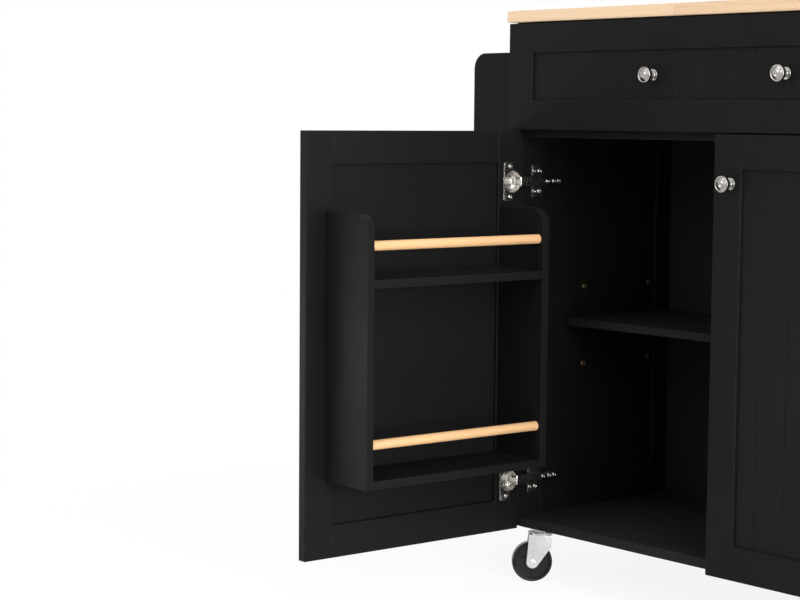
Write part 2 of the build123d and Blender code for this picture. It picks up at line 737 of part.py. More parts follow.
# Caster plates, each with its raceway and kingpin, and the screws that hold them
plate_under = carcass_bottom - caster_plate_thickness
race_under = plate_under - raceway_height
fork_top = race_under - raceway_gap
kingpin_shoulder = fork_top - fork_sheet - raceway_gap
with BuildPart() as caster_plates:
    with BuildSketch(Plane.XY.offset(plate_under)) as plate_outline:
        with Locations(*caster_places.values()):
            RectangleRounded(caster_plate_x, caster_plate_y, caster_plate_rounding)
    extrude(plate_outline.sketch, amount=caster_plate_thickness)
    rods(Plane.XY.offset(plate_under), caster_places.values(), raceway_radius, -raceway_height)
    rods(Plane.XY.offset(plate_under), caster_places.values(), kingpin_radius,
         kingpin_shoulder - plate_under)
    prisms(Plane.XY.offset(kingpin_shoulder), caster_places.values(), kingpin_head_radius, fastener_sides,
           -kingpin_head)
    screw_holes(Plane.XY.offset(plate_under), caster_screw_points, caster_plate_thickness)
save(caster_plates, "caster_plates")
with BuildPart() as caster_screws:
    screws(Plane.XY.offset(plate_under), caster_screw_points)
save(caster_screws, "caster_screws")

# Casters: a bent sheet fork, its axle and a spoked wheel, all trailing one way
leg_inner = wheel_width / 2 + fork_clearance
leg_outer = leg_inner + fork_sheet
trail_way = (cos(radians(caster_heading)), sin(radians(caster_heading)), 0)
for corner, place in caster_places.items():
    swivel = Plane(origin=(*place, 0), x_dir=trail_way, z_dir=(0, 0, 1))
    axle_centre = swivel.from_local_coords((caster_trail, 0, wheel_radius))
    axle_line = Axis(axle_centre, swivel.y_dir)
    fork_bottom = wheel_radius - fork_boss_radius
    fork_back = caster_trail + fork_boss_radius
    with BuildPart() as caster_fork:
        with BuildSketch(upright(swivel, -fork_rear_width)) as channel:
            with Locations((0, (fork_bottom + fork_top) / 2)):
                Rectangle(2 * leg_outer, fork_top - fork_bottom)
            fillet(channel.vertices().group_by(Axis.Y)[-1], fork_bend)
            with Locations((0, (fork_bottom + fork_top) / 2 - fork_sheet)):
                Rectangle(2 * leg_inner, fork_top - fork_bottom, mode=Mode.SUBTRACT)
        extrude(channel.sketch, amount=fork_rear_width + fork_back)
        with BuildSketch(facing(swivel, 0)) as leg_outline:
            with Locations((caster_trail, wheel_radius)):
                Circle(fork_boss_radius)
            with BuildLine():
                Polyline((-fork_rear_width, fork_top - fork_straight), (-fork_rear_width, fork_top),
                         (fork_half_width, fork_top), close=True)
            make_face()
            make_hull()
        extrude(leg_outline.sketch, amount=leg_outer, both=True, mode=Mode.INTERSECT)
        rods(level(swivel, fork_top), [(0, 0)], raceway_radius, -fork_sheet)
        rods(level(swivel, fork_top), [(0, 0)], kingpin_radius + kingpin_clearance, -fork_sheet,
             Mode.SUBTRACT)
        rods(facing(swivel, leg_outer), [(caster_trail, wheel_radius)], axle_radius + axle_clearance,
             2 * leg_outer, Mode.SUBTRACT)
    save(caster_fork, f"{corner}_caster_fork")

    with BuildPart() as caster_axle:
        axle_point = [(caster_trail, wheel_radius)]
        rods(facing(swivel, leg_outer), axle_point, axle_radius, 2 * leg_outer)
        for outer_face, head in ((leg_outer, -axle_head_height), (-leg_outer, axle_head_height)):
            prisms(facing(swivel, outer_face), axle_point, axle_head_radius, fastener_sides, head)
    save(caster_axle, f"{corner}_caster_axle")

    with BuildPart() as caster_wheel:
        turning = Plane(origin=axle_centre, x_dir=swivel.x_dir, z_dir=swivel.z_dir)
        web_width = wheel_width - 2 * wheel_dish
        bore = axle_radius + axle_clearance
        with BuildSketch(turning) as wheel_profile:
            with Locations(((bore + wheel_radius) / 2, 0)):
                Rectangle(wheel_radius - bore, wheel_width)
            chamfer(wheel_profile.vertices().group_by(Axis.X)[-1], wheel_bevel)
            dish_centre = (hub_radius + wheel_radius - wheel_rim) / 2
            for dish_y in ((wheel_width - wheel_dish) / 2, (wheel_dish - wheel_width) / 2):
                with Locations((dish_centre, dish_y)):
                    Rectangle(wheel_radius - wheel_rim - hub_radius, wheel_dish, mode=Mode.SUBTRACT)
        revolve(wheel_profile.sketch, axis=axle_line)
        with BuildSketch(facing(swivel, web_width / 2 + spoke_rise)) as spokes:
            with Locations((caster_trail, wheel_radius)):
                with PolarLocations((hub_radius + wheel_radius - wheel_rim) / 2, spoke_count):
                    Rectangle(wheel_radius - wheel_rim - hub_radius + spoke_width, spoke_width)
        extrude(spokes.sketch, amount=web_width + 2 * spoke_rise)
    save(caster_wheel, f"{corner}_caster_wheel")
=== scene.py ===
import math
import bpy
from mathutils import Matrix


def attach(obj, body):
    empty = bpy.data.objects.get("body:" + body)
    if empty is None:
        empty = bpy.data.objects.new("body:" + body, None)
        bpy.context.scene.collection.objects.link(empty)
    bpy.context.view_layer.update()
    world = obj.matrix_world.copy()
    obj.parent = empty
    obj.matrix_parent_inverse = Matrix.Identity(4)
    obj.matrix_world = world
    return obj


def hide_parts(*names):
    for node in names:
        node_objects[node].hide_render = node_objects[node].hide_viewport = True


bl_info = {
    "name": "Rolling kitchen island",
    "version": (1, 0, 0),
    "blender": (4, 5, 0),
    "location": "View3D > Sidebar > Island",
    "description": "Finishes, turned knobs, hinges, casters and stage for a painted kitchen island",
    "category": "Object",
}

import bmesh
import bpy
from mathutils import Matrix, Vector

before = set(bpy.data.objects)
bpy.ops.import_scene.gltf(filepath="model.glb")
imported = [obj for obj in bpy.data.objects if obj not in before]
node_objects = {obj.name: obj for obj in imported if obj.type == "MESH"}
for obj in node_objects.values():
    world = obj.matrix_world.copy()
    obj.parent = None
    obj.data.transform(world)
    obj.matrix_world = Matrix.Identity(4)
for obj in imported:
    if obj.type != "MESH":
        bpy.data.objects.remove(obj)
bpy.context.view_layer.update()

CORNERS = ("front_left", "front_right", "back_left", "back_right")
# How far the left door stands open at rest
DOOR_AJAR = math.radians(92.5)
# An edge that folds more than this is shaded as a sharp one
SHARP = math.radians(32)
# Corners nearer than this, in metres, are one corner
SAME_POINT = 1e-6

# Names of the finishes, as the pieces ask for them
LACQUER = "Black lacquer"
# The loose boards' paint is flatter than the lacquer and about twice as light: painted light that lifts
# the shade inside the cabinet
LIGHTENED_BOARD_PAINT = "Board paint"
WORKTOP = "Glued worktop"
RAIL = "Rail wood"
DOOR_RAIL = "Door rail wood"
NICKEL = "Brushed nickel"
PLATE = "Bright plate"
ZINC = "Zinc plate"
BALL_STEEL = "Ball steel"
BRASS = "Brass sleeve"
WHEEL = "Wheel plastic"


# Sizes and colours


class IslandPaint(bpy.types.PropertyGroup):
    """The black lacquer on every board, and the thinner paint on the loose panels, painted lighter to
    lift the shade inside the cabinet.
    """

    lacquer: bpy.props.FloatVectorProperty(
        name="Lacquer", description="Colour of the satin lacquer on the boards",
        default=(0.0086, 0.0085, 0.0084), size=3, min=0.0, max=1.0, subtype="COLOR")
    # About twice the lacquer's lightness: painted light that lifts the shade on the boards inside the
    # cabinet
    board: bpy.props.FloatVectorProperty(
        name="Board paint", description="Colour of the flat paint on the loose boards inside",
        default=(0.0180, 0.0178, 0.0176), size=3, min=0.0, max=1.0, subtype="COLOR")
    sheen: bpy.props.FloatProperty(
        name="Sheen", description="How strongly the lacquer mirrors, 0.5 being plain gloss paint",
        default=0.045, min=0.0, max=1.0, subtype="FACTOR")
    eased_edge: bpy.props.FloatProperty(
        name="Eased edge", description="Radius that sanding leaves on a painted edge",
        default=0.0009, min=0.0, max=0.005, unit="LENGTH", subtype="DISTANCE")
    peel_height: bpy.props.FloatProperty(
        name="Spray texture", description="Height of the fine waves that spraying leaves",
        default=0.000012, min=0.0, max=0.001, unit="LENGTH", subtype="DISTANCE", precision=6)


class IslandTimber(bpy.types.PropertyGroup):
    """The bare wood: the glued worktop and the rack rails."""

    top_pale: bpy.props.FloatVectorProperty(
        name="Worktop, pale", description="Early wood of the worktop",
        default=(0.75, 0.555, 0.37), size=3, min=0.0, max=1.0, subtype="COLOR")
    top_dark: bpy.props.FloatVectorProperty(
        name="Worktop, dark", description="Late wood of the worktop",
        default=(0.64, 0.43, 0.262), size=3, min=0.0, max=1.0, subtype="COLOR")
    rail_pale: bpy.props.FloatVectorProperty(
        name="Rail, pale", description="Early wood of the rack rails",
        default=(0.76, 0.47, 0.238), size=3, min=0.0, max=1.0, subtype="COLOR")
    rail_dark: bpy.props.FloatVectorProperty(
        name="Rail, dark", description="Late wood of the rack rails",
        default=(0.63, 0.365, 0.17), size=3, min=0.0, max=1.0, subtype="COLOR")
    stave_width: bpy.props.FloatProperty(
        name="Stave width", description="Width of one glued stave of the worktop",
        default=0.042, min=0.01, max=0.2, unit="LENGTH", subtype="DISTANCE")
    stave_length: bpy.props.FloatProperty(
        name="Stave length", description="Length of one glued stave of the worktop",
        default=0.38, min=0.05, max=2.0, unit="LENGTH", subtype="DISTANCE")


class IslandMetal(bpy.types.PropertyGroup):
    """The plated and bare metal, and the moulded wheels."""

    nickel: bpy.props.FloatVectorProperty(
        name="Knob nickel", description="Brushed nickel of the knobs",
        default=(0.40, 0.39, 0.375), size=3, min=0.0, max=1.0, subtype="COLOR")
    plate: bpy.props.FloatVectorProperty(
        name="Hinge plate", description="Bright nickel plating of the hinges and screws",
        default=(0.76, 0.745, 0.72), size=3, min=0.0, max=1.0, subtype="COLOR")
    zinc: bpy.props.FloatVectorProperty(
        name="Zinc", description="Zinc plating of the casters and the runners",
        default=(0.70, 0.705, 0.715), size=3, min=0.0, max=1.0, subtype="COLOR")
    brass: bpy.props.FloatVectorProperty(
        name="Brass", description="Plated sleeves that take the shelf pins",
        default=(0.80, 0.60, 0.32), size=3, min=0.0, max=1.0, subtype="COLOR")
    wheel: bpy.props.FloatVectorProperty(
        name="Wheel", description="Moulded black plastic of the wheels",
        default=(0.0065, 0.0065, 0.0068), size=3, min=0.0, max=1.0, subtype="COLOR")


class IslandFittings(bpy.types.PropertyGroup):
    """The small fittings that are detailed beyond their plain solids."""

    recess_width: bpy.props.FloatProperty(
        name="Cross recess", description="Width of a screw's cross recess, as a share of its head",
        default=0.58, min=0.2, max=0.9, subtype="FACTOR")
    recess_slot: bpy.props.FloatProperty(
        name="Cross slot", description="Width of one arm of the cross, as a share of the head",
        default=0.17, min=0.05, max=0.4, subtype="FACTOR")
    recess_depth: bpy.props.FloatProperty(
        name="Recess depth", description="Depth of the cross, as a share of the head's height",
        default=0.72, min=0.1, max=0.95, subtype="FACTOR")
    sheet_edge: bpy.props.FloatProperty(
        name="Sheet edge", description="Radius that stamping and plating leave on sheet metal",
        default=0.0005, min=0.0001, max=0.002, unit="LENGTH", subtype="DISTANCE")
    fine_edge: bpy.props.FloatProperty(
        name="Fine edge", description="The same on the smallest fittings",
        default=0.00025, min=0.0001, max=0.001, unit="LENGTH", subtype="DISTANCE")
    ball_size: bpy.props.FloatProperty(
        name="Bearing ball", description="Diameter of a ball in the swivel bearing",
        default=0.0032, min=0.001, max=0.01, unit="LENGTH", subtype="DISTANCE")
    ball_count: bpy.props.IntProperty(
        name="Balls", description="Balls in one swivel bearing", default=26, min=3, max=33)
    spoke_count: bpy.props.IntProperty(
        name="Spokes", description="Raised ribs on each side of a wheel", default=3, min=2, max=12)


class IslandStage(bpy.types.PropertyGroup):
    """The camera, the lights and the floor."""

    eye: bpy.props.FloatVectorProperty(
        name="Camera place", description="Where the camera stands",
        default=(1.9099, -2.1751, 0.7487), size=3, unit="LENGTH", subtype="TRANSLATION")
    yaw: bpy.props.FloatProperty(
        name="Yaw", description="Turn of the view from straight ahead towards the left",
        default=math.radians(49.371), unit="ROTATION", subtype="ANGLE")
    pitch: bpy.props.FloatProperty(
        name="Pitch", description="Tilt of the view, negative downwards",
        default=math.radians(-5.321), unit="ROTATION", subtype="ANGLE")
    roll: bpy.props.FloatProperty(
        name="Roll", description="Turn of the camera about its own line of view",
        default=math.radians(0.481), unit="ROTATION", subtype="ANGLE")
    lens: bpy.props.FloatProperty(
        name="Lens", description="Focal length on a frame 36 mm wide, in millimetres",
        default=89.16, min=10.0, max=400.0)
    fill_level: bpy.props.FloatProperty(
        name="Room light", description="Even light from all around",
        default=0.34, min=0.0, max=2.0)
    floor_size: bpy.props.FloatProperty(
        name="Floor", description="Length of one side of the floor",
        default=16.0, min=2.0, max=60.0, unit="LENGTH", subtype="DISTANCE")
    shadow_reach: bpy.props.FloatProperty(
        name="Shadow reach", description="How far from the island the floor still shows its shadow",
        default=1.6, min=0.7, max=8.0, unit="LENGTH", subtype="DISTANCE")


# Shader helpers


def rgba(colour):
    """A colour with full cover."""
    return (*colour, 1.0)


def add_node(tree, kind, values=None, **settings):
    """One shader node; a value that is a socket is linked, any other is set."""
    node = tree.nodes.new(kind)
    for name, setting in settings.items():
        setattr(node, name, setting)
    for name, value in (values or {}).items():
        if isinstance(value, bpy.types.NodeSocket):
            tree.links.new(value, node.inputs[name])
        else:
            node.inputs[name].default_value = value
    return node


def calc(tree, operation, first, second=0.0, clamp=False):
    """The result of one sum on values."""
    node = add_node(tree, "ShaderNodeMath", {0: first, 1: second}, operation=operation)
    node.use_clamp = clamp
    return node.outputs[0]


def vectors(tree, operation, first, second=(0.0, 0.0, 0.0)):
    """The result of one sum on vectors."""
    node = add_node(tree, "ShaderNodeVectorMath", {0: first, 1: second}, operation=operation)
    return node.outputs["Value" if operation in ("DOT_PRODUCT", "LENGTH") else "Vector"]


def remap(tree, value, low, high, new_low=0.0, new_high=1.0):
    """A value carried from one range to another, and kept inside it."""
    values = {0: value, 1: low, 2: high, 3: new_low, 4: new_high}
    return add_node(tree, "ShaderNodeMapRange", values, clamp=True).outputs[0]


def mix_colour(tree, share, first, second, blend="MIX"):
    """Two colours mixed by a share."""
    values = {0: share, 6: first, 7: second}
    node = add_node(tree, "ShaderNodeMix", values, data_type="RGBA", blend_type=blend)
    return node.outputs[2]


def multiple(tree, colour, factor):
    """A colour times another, channel by channel."""
    return mix_colour(tree, 1.0, colour, rgba(factor), "MULTIPLY")


def scaled(tree, value, factor):
    """A value times a plain number."""
    return calc(tree, "MULTIPLY", value, factor)


def noise(tree, place, scale, detail=3.0, roughness=0.5, distortion=0.0):
    """Soft random values from 0 to 1."""
    values = {
        "Vector": place, "Scale": scale, "Detail": detail,
        "Roughness": roughness, "Distortion": distortion,
    }
    return add_node(tree, "ShaderNodeTexNoise", values).outputs[0]


def stretch(tree, place, scale, turn=(0.0, 0.0, 0.0)):
    """The same place, turned and then drawn out along its axes."""
    turned = add_node(tree, "ShaderNodeMapping", {"Vector": place, "Rotation": turn})
    return add_node(
        tree, "ShaderNodeMapping", {"Vector": turned.outputs[0], "Scale": scale}).outputs[0]


def surface_place(tree):
    """A point's place on its own piece, in metres."""
    return add_node(tree, "ShaderNodeTexCoord").outputs["Object"]


def new_group(name, inputs, outputs):
    """An empty shader group with named sockets: (tree, input sockets, output sockets)."""
    tree = bpy.data.node_groups.new(name, "ShaderNodeTree")
    for label, kind, default in inputs:
        socket = tree.interface.new_socket(name=label, in_out="INPUT", socket_type=kind)
        socket.default_value = default
    for label, kind in outputs:
        tree.interface.new_socket(name=label, in_out="OUTPUT", socket_type=kind)
    entry = tree.nodes.new("NodeGroupInput")
    leave = tree.nodes.new("NodeGroupOutput")
    return tree, entry.outputs, leave.inputs


def put_out(tree, leave, **results):
    """Links a shader group's results to its outputs."""
    for name, result in results.items():
        tree.links.new(result, leave[name])


def place_group(tree, name, values):
    """One use of a shader group, with its own values."""
    return add_node(tree, "ShaderNodeGroup", values, node_tree=bpy.data.node_groups[name])


# Shared effects

FLOAT = "NodeSocketFloat"
COLOUR = "NodeSocketColor"
VECTOR = "NodeSocketVector"
GREY = rgba((0.5, 0.5, 0.5))


def build_eased_edges():
    """Rounds the shading at sharp edges, and says where the edges are."""
    tree, entry, leave = new_group(
        "Eased edges",
        [("Radius", FLOAT, 0.001), ("Break up", FLOAT, 60.0)],
        [("Normal", VECTOR), ("Edge", FLOAT), ("Rubbed", FLOAT)],
    )
    rounded = add_node(tree, "ShaderNodeBevel", {"Radius": entry["Radius"]}, samples=6)
    plain = add_node(tree, "ShaderNodeNewGeometry")
    match = vectors(tree, "DOT_PRODUCT", rounded.outputs[0], plain.outputs["Normal"])
    edge = remap(tree, calc(tree, "SUBTRACT", 1.0, match), 0.0, 0.09)
    patches = noise(tree, surface_place(tree), entry["Break up"], detail=4.0, roughness=0.6)
    rubbed = calc(tree, "MULTIPLY", edge, remap(tree, patches, 0.46, 0.62))
    put_out(tree, leave, Normal=rounded.outputs[0], Edge=edge, Rubbed=rubbed)


def build_handling():
    """Smudges, specks and cloudy differences that daily use leaves."""
    tree, entry, leave = new_group(
        "Handling",
        [("Cloud scale", FLOAT, 7.0), ("Speck scale", FLOAT, 420.0)],
        [("Cloud", FLOAT), ("Smudge", FLOAT), ("Speck", FLOAT)],
    )
    place = surface_place(tree)
    cloud = noise(tree, place, entry["Cloud scale"], detail=3.0, roughness=0.55, distortion=0.4)
    finger_scale = scaled(tree, entry["Cloud scale"], 6.0)
    smudge = noise(tree, place, finger_scale, detail=4.0, roughness=0.6, distortion=1.2)
    speck = noise(tree, place, entry["Speck scale"], detail=2.0, roughness=0.5)
    put_out(
        tree, leave, Cloud=remap(tree, cloud, 0.3, 0.7), Smudge=remap(tree, smudge, 0.48, 0.72),
        Speck=remap(tree, speck, 0.66, 0.76))


def build_sprayed_film():
    """Lacquer sprayed on wood: fine waves, faint grain below, dulled patches, a painted highlight along
    every edge, rubbed edges.
    """
    tree, entry, leave = new_group(
        "Sprayed film",
        [("Colour", COLOUR, GREY), ("Edge", FLOAT, 0.0), ("Rubbed", FLOAT, 0.0),
         ("Gloss low", FLOAT, 0.36), ("Gloss high", FLOAT, 0.5), ("Wave scale", FLOAT, 420.0)],
        [("Colour", COLOUR), ("Roughness", FLOAT), ("Height", FLOAT)],
    )
    place = surface_place(tree)
    use = place_group(tree, "Handling", {"Cloud scale": 5.0, "Speck scale": 620.0})
    waves = noise(tree, place, entry["Wave scale"], detail=2.0, roughness=0.45)
    fibres = noise(tree, stretch(tree, place, (900.0, 900.0, 22.0)), 1.0, detail=3.0, roughness=0.6)
    cloud, edge = use.outputs["Cloud"], entry["Edge"]
    paler = multiple(tree, entry["Colour"], (1.14, 1.13, 1.12))
    clouded = mix_colour(tree, cloud, entry["Colour"], paler)
    # Every edge painted up to 2.4 times lighter: a painted highlight along the arrises, before the rubbed
    # wear is mixed in
    edge_highlighted = mix_colour(tree, scaled(tree, edge, 0.6), clouded, multiple(tree, clouded, (2.4, 2.4, 2.4)))
    bare = rgba((0.045, 0.041, 0.037))
    worn = mix_colour(tree, scaled(tree, entry["Rubbed"], 0.45), edge_highlighted, bare)
    dust = rgba((0.06, 0.058, 0.055))
    dusted = mix_colour(tree, scaled(tree, use.outputs["Speck"], 0.16), worn, dust)
    gloss = remap(tree, cloud, 0.0, 1.0, entry["Gloss low"], entry["Gloss high"])
    touched = calc(tree, "ADD", gloss, scaled(tree, use.outputs["Smudge"], 0.05))
    polished = calc(tree, "SUBTRACT", touched, scaled(tree, edge, 0.08))
    height = calc(tree, "ADD", waves, scaled(tree, fibres, 0.35))
    put_out(tree, leave, Colour=dusted, Roughness=polished, Height=height)


def build_grain():
    """Timber grain along X: growth rings, fibres, pores and a slow change of tone."""
    tree, entry, leave = new_group(
        "Timber grain",
        [("Place", VECTOR, (0.0, 0.0, 0.0)), ("Pale", COLOUR, GREY), ("Dark", COLOUR, GREY),
         ("Tone", FLOAT, 0.5), ("Ring scale", FLOAT, 26.0)],
        [("Colour", COLOUR), ("Roughness", FLOAT), ("Height", FLOAT)],
    )
    place = entry["Place"]
    drawn = stretch(tree, place, (0.055, 1.0, 1.0))
    figure = noise(tree, drawn, entry["Ring scale"], detail=3.0, roughness=0.5, distortion=0.7)
    bands = calc(tree, "FRACT", scaled(tree, figure, 9.0))
    rings = calc(tree, "ABSOLUTE", calc(tree, "SUBTRACT", bands, 0.5))
    late_wood = remap(tree, rings, 0.3, 0.5)
    fibres = noise(tree, stretch(tree, place, (30.0, 900.0, 900.0)), 1.0, detail=4.0, roughness=0.65)
    pores = noise(tree, stretch(tree, place, (90.0, 1700.0, 1700.0)), 1.0, detail=2.0, roughness=0.5)
    pore_mask = remap(tree, pores, 0.62, 0.72)
    slow = noise(tree, stretch(tree, place, (1.6, 14.0, 14.0)), 1.0, detail=2.0)
    mix = scaled(tree, late_wood, 0.34)
    for effect, weight in (
            (remap(tree, fibres, 0.35, 0.7), 0.26), (remap(tree, slow, 0.3, 0.7), 0.2),
            (calc(tree, "SUBTRACT", entry["Tone"], 0.5), 0.5)):
        mix = calc(tree, "ADD", mix, scaled(tree, effect, weight))
    base = mix_colour(tree, calc(tree, "ADD", mix, 0.0, clamp=True), entry["Pale"], entry["Dark"])
    pore = multiple(tree, entry["Dark"], (0.62, 0.55, 0.5))
    pored = mix_colour(tree, scaled(tree, pore_mask, 0.35), base, pore)
    rough = remap(tree, fibres, 0.3, 0.7, 0.42, 0.56)
    height = calc(tree, "SUBTRACT", scaled(tree, fibres, 0.6), scaled(tree, pore_mask, 0.8))
    put_out(tree, leave, Colour=pored, Roughness=rough, Height=height)


def build_plating():
    """Plated metal: brushing along one way, cloudy tarnish, and brighter rubbed edges."""
    tree, entry, leave = new_group(
        "Plating",
        [("Colour", COLOUR, GREY), ("Edge", FLOAT, 0.0), ("Brush", VECTOR, (500.0, 500.0, 30.0)),
         ("Low", FLOAT, 0.2), ("High", FLOAT, 0.34)],
        [("Colour", COLOUR), ("Roughness", FLOAT), ("Height", FLOAT)],
    )
    place = surface_place(tree)
    use = place_group(tree, "Handling", {"Cloud scale": 34.0, "Speck scale": 900.0})
    brushed = noise(tree, vectors(tree, "MULTIPLY", place, entry["Brush"]), 1.0, roughness=0.6)
    duller = multiple(tree, entry["Colour"], (0.84, 0.82, 0.80))
    clouded = mix_colour(tree, use.outputs["Cloud"], entry["Colour"], duller)
    speck = multiple(tree, entry["Colour"], (0.5, 0.46, 0.42))
    specked = mix_colour(tree, scaled(tree, use.outputs["Speck"], 0.4), clouded, speck)
    rough = remap(tree, brushed, 0.3, 0.7, entry["Low"], entry["High"])
    smudged = calc(tree, "ADD", rough, scaled(tree, use.outputs["Smudge"], 0.07))
    rubbed = calc(tree, "SUBTRACT", smudged, scaled(tree, entry["Edge"], 0.06))
    put_out(tree, leave, Colour=specked, Roughness=rubbed, Height=brushed)


# Materials


def start_material(name):
    """A new material's node tree, with nothing but its output."""
    material = bpy.data.materials.new(name)
    material.use_nodes = True
    tree = material.node_tree
    for node in list(tree.nodes):
        if node.bl_idname != "ShaderNodeOutputMaterial":
            tree.nodes.remove(node)
    return tree


def finish_material(tree, effects, edges, bump_height, metallic=0.0, specular=0.5):
    """The shader of a material, fed by its colour, roughness and height."""
    colour, rough, height = effects
    bump = add_node(
        tree, "ShaderNodeBump",
        {"Height": height, "Distance": bump_height, "Strength": 1.0, "Normal": edges.outputs["Normal"]})
    shader = add_node(
        tree, "ShaderNodeBsdfPrincipled",
        {"Base Color": colour, "Roughness": rough, "Normal": bump.outputs[0],
         "Metallic": metallic, "Specular IOR Level": specular})
    tree.links.new(shader.outputs[0], tree.nodes["Material Output"].inputs[0])


def paint_material(name, colour, gloss, radius, peel, sheen):
    """Satin lacquer or paint on wood and board."""
    tree = start_material(name)
    edges = place_group(tree, "Eased edges", {"Radius": radius, "Break up": 70.0})
    # The film paints a highlight along every edge of the board
    film = place_group(
        tree, "Sprayed film",
        {"Colour": rgba(colour), "Edge": edges.outputs["Edge"], "Rubbed": edges.outputs["Rubbed"],
         "Gloss low": gloss[0], "Gloss high": gloss[1]})
    finish_material(tree, tuple(film.outputs), edges, peel, specular=sheen)


def worktop_material(timber):
    """Staves glued side by side, each with its own tone, under a satin oil."""
    tree = start_material(WORKTOP)
    place = surface_place(tree)
    parts = add_node(tree, "ShaderNodeSeparateXYZ", {0: place})
    across = calc(tree, "DIVIDE", parts.outputs[1], timber.stave_width)
    row = calc(tree, "FLOOR", across)
    row_chance = add_node(tree, "ShaderNodeTexWhiteNoise", {"W": row}, noise_dimensions="1D")
    along = calc(
        tree, "ADD", calc(tree, "DIVIDE", parts.outputs[0], timber.stave_length),
        scaled(tree, row_chance.outputs["Value"], 7.0))
    piece = calc(tree, "FLOOR", along)
    stave_key = add_node(tree, "ShaderNodeCombineXYZ", {0: row, 1: piece}).outputs[0]
    stave = add_node(tree, "ShaderNodeTexWhiteNoise", {"Vector": stave_key}, noise_dimensions="3D")
    apart = vectors(tree, "MULTIPLY", stave.outputs["Color"], (3.0, 3.0, 3.0))
    grain = place_group(
        tree, "Timber grain",
        {"Place": vectors(tree, "ADD", place, apart), "Pale": rgba(timber.top_pale),
         "Dark": rgba(timber.top_dark), "Tone": stave.outputs["Value"], "Ring scale": 24.0})
    side_gap = calc(tree, "PINGPONG", across, 0.5)
    end_gap = calc(tree, "PINGPONG", along, 0.5)
    seam = calc(
        tree, "MAXIMUM",
        remap(tree, side_gap, 0.0, 0.010, 1.0, 0.0), remap(tree, end_gap, 0.0, 0.0013, 1.0, 0.0))
    edges = place_group(tree, "Eased edges", {"Radius": 0.0012, "Break up": 40.0})
    use = place_group(tree, "Handling", {"Cloud scale": 4.0, "Speck scale": 300.0})
    glue = rgba((0.30, 0.17, 0.085))
    seamed = mix_colour(tree, scaled(tree, seam, 0.45), grain.outputs["Colour"], glue)
    warmer = multiple(tree, seamed, (0.94, 0.91, 0.86))
    warmed = mix_colour(tree, scaled(tree, use.outputs["Cloud"], 0.2), seamed, warmer)
    height = calc(tree, "SUBTRACT", grain.outputs["Height"], scaled(tree, seam, 1.4))
    rough = calc(tree, "ADD", grain.outputs["Roughness"], scaled(tree, use.outputs["Smudge"], 0.06))
    finish_material(tree, (warmed, rough, height), edges, 0.00002, specular=0.3)


def rail_material(name, timber, turn):
    """A turned hardwood rail; turn brings its length onto the grain's own way."""
    tree = start_material(name)
    place = stretch(tree, surface_place(tree), (1.0, 1.0, 1.0), (0.0, 0.0, turn))
    grain = place_group(
        tree, "Timber grain",
        {"Place": place, "Pale": rgba(timber.rail_pale), "Dark": rgba(timber.rail_dark),
         "Tone": 0.5, "Ring scale": 90.0})
    edges = place_group(tree, "Eased edges", {"Radius": 0.0006, "Break up": 60.0})
    finish_material(tree, tuple(grain.outputs), edges, 0.00002, specular=0.3)


def metal_material(name, colour, gloss, brush):
    """Plated or bare metal, brushed along the axis where the brush is coarsest."""
    tree = start_material(name)
    edges = place_group(tree, "Eased edges", {"Radius": 0.0002, "Break up": 200.0})
    plating = place_group(
        tree, "Plating",
        {"Colour": rgba(colour), "Edge": edges.outputs["Edge"], "Brush": brush,
         "Low": gloss[0], "High": gloss[1]})
    finish_material(tree, tuple(plating.outputs), edges, 0.000004, metallic=1.0)


def wheel_material(colour):
    """Moulded plastic with a fine mould texture, scuffed where it is rubbed."""
    tree = start_material(WHEEL)
    edges = place_group(tree, "Eased edges", {"Radius": 0.0005, "Break up": 120.0})
    # The film paints a highlight along every edge of the wheel
    film = place_group(
        tree, "Sprayed film",
        {"Colour": rgba(colour), "Edge": edges.outputs["Edge"], "Rubbed": edges.outputs["Rubbed"],
         "Gloss low": 0.2, "Gloss high": 0.3, "Wave scale": 1500.0})
    mould = scaled(tree, noise(tree, surface_place(tree), 90.0, detail=2.0), 0.6)
    height = calc(tree, "ADD", film.outputs["Height"], mould)
    effects = (film.outputs["Colour"], film.outputs["Roughness"], height)
    finish_material(tree, effects, edges, 0.00001, specular=0.3)


def dress(finish, slot, *names):
    """Gives CAD nodes a finish."""
    material = bpy.data.materials[finish]
    for name in names:
        solid = node_objects[name]
        finishes = solid.data.materials
        if not finishes:
            finishes.append(material)
        for index in range(len(finishes)):
            finishes[index] = material


# Mesh helpers


def node_shell(name):
    """A working copy of a CAD node's mesh, with its corners joined."""
    shell = bmesh.new()
    shell.from_mesh(node_objects[name].data)
    bmesh.ops.remove_doubles(shell, verts=shell.verts, dist=SAME_POINT)
    return shell


def node_islands(name):
    """The corners of each separate solid of a CAD node."""
    shell = node_shell(name)
    waiting = set(shell.verts)
    islands = []
    while waiting:
        reach = [waiting.pop()]
        island = []
        while reach:
            corner = reach.pop()
            island.append(corner.co.copy())
            for edge in corner.link_edges:
                other = edge.other_vert(corner)
                if other in waiting:
                    waiting.remove(other)
                    reach.append(other)
        islands.append(island)
    shell.free()
    return sorted(islands, key=lambda island: tuple(round(v, 5) for v in box_middle(island)))


def box_corners(points):
    """The lowest and the highest corner of the box round some points."""
    low = Vector([min(point[axis] for point in points) for axis in range(3)])
    high = Vector([max(point[axis] for point in points) for axis in range(3)])
    return low, high


def box_middle(points):
    """The middle of the box round some points."""
    low, high = box_corners(points)
    return (low + high) / 2


def node_middle(name):
    """The middle of a node's box."""
    return box_middle([corner.co for corner in node_objects[name].data.vertices])


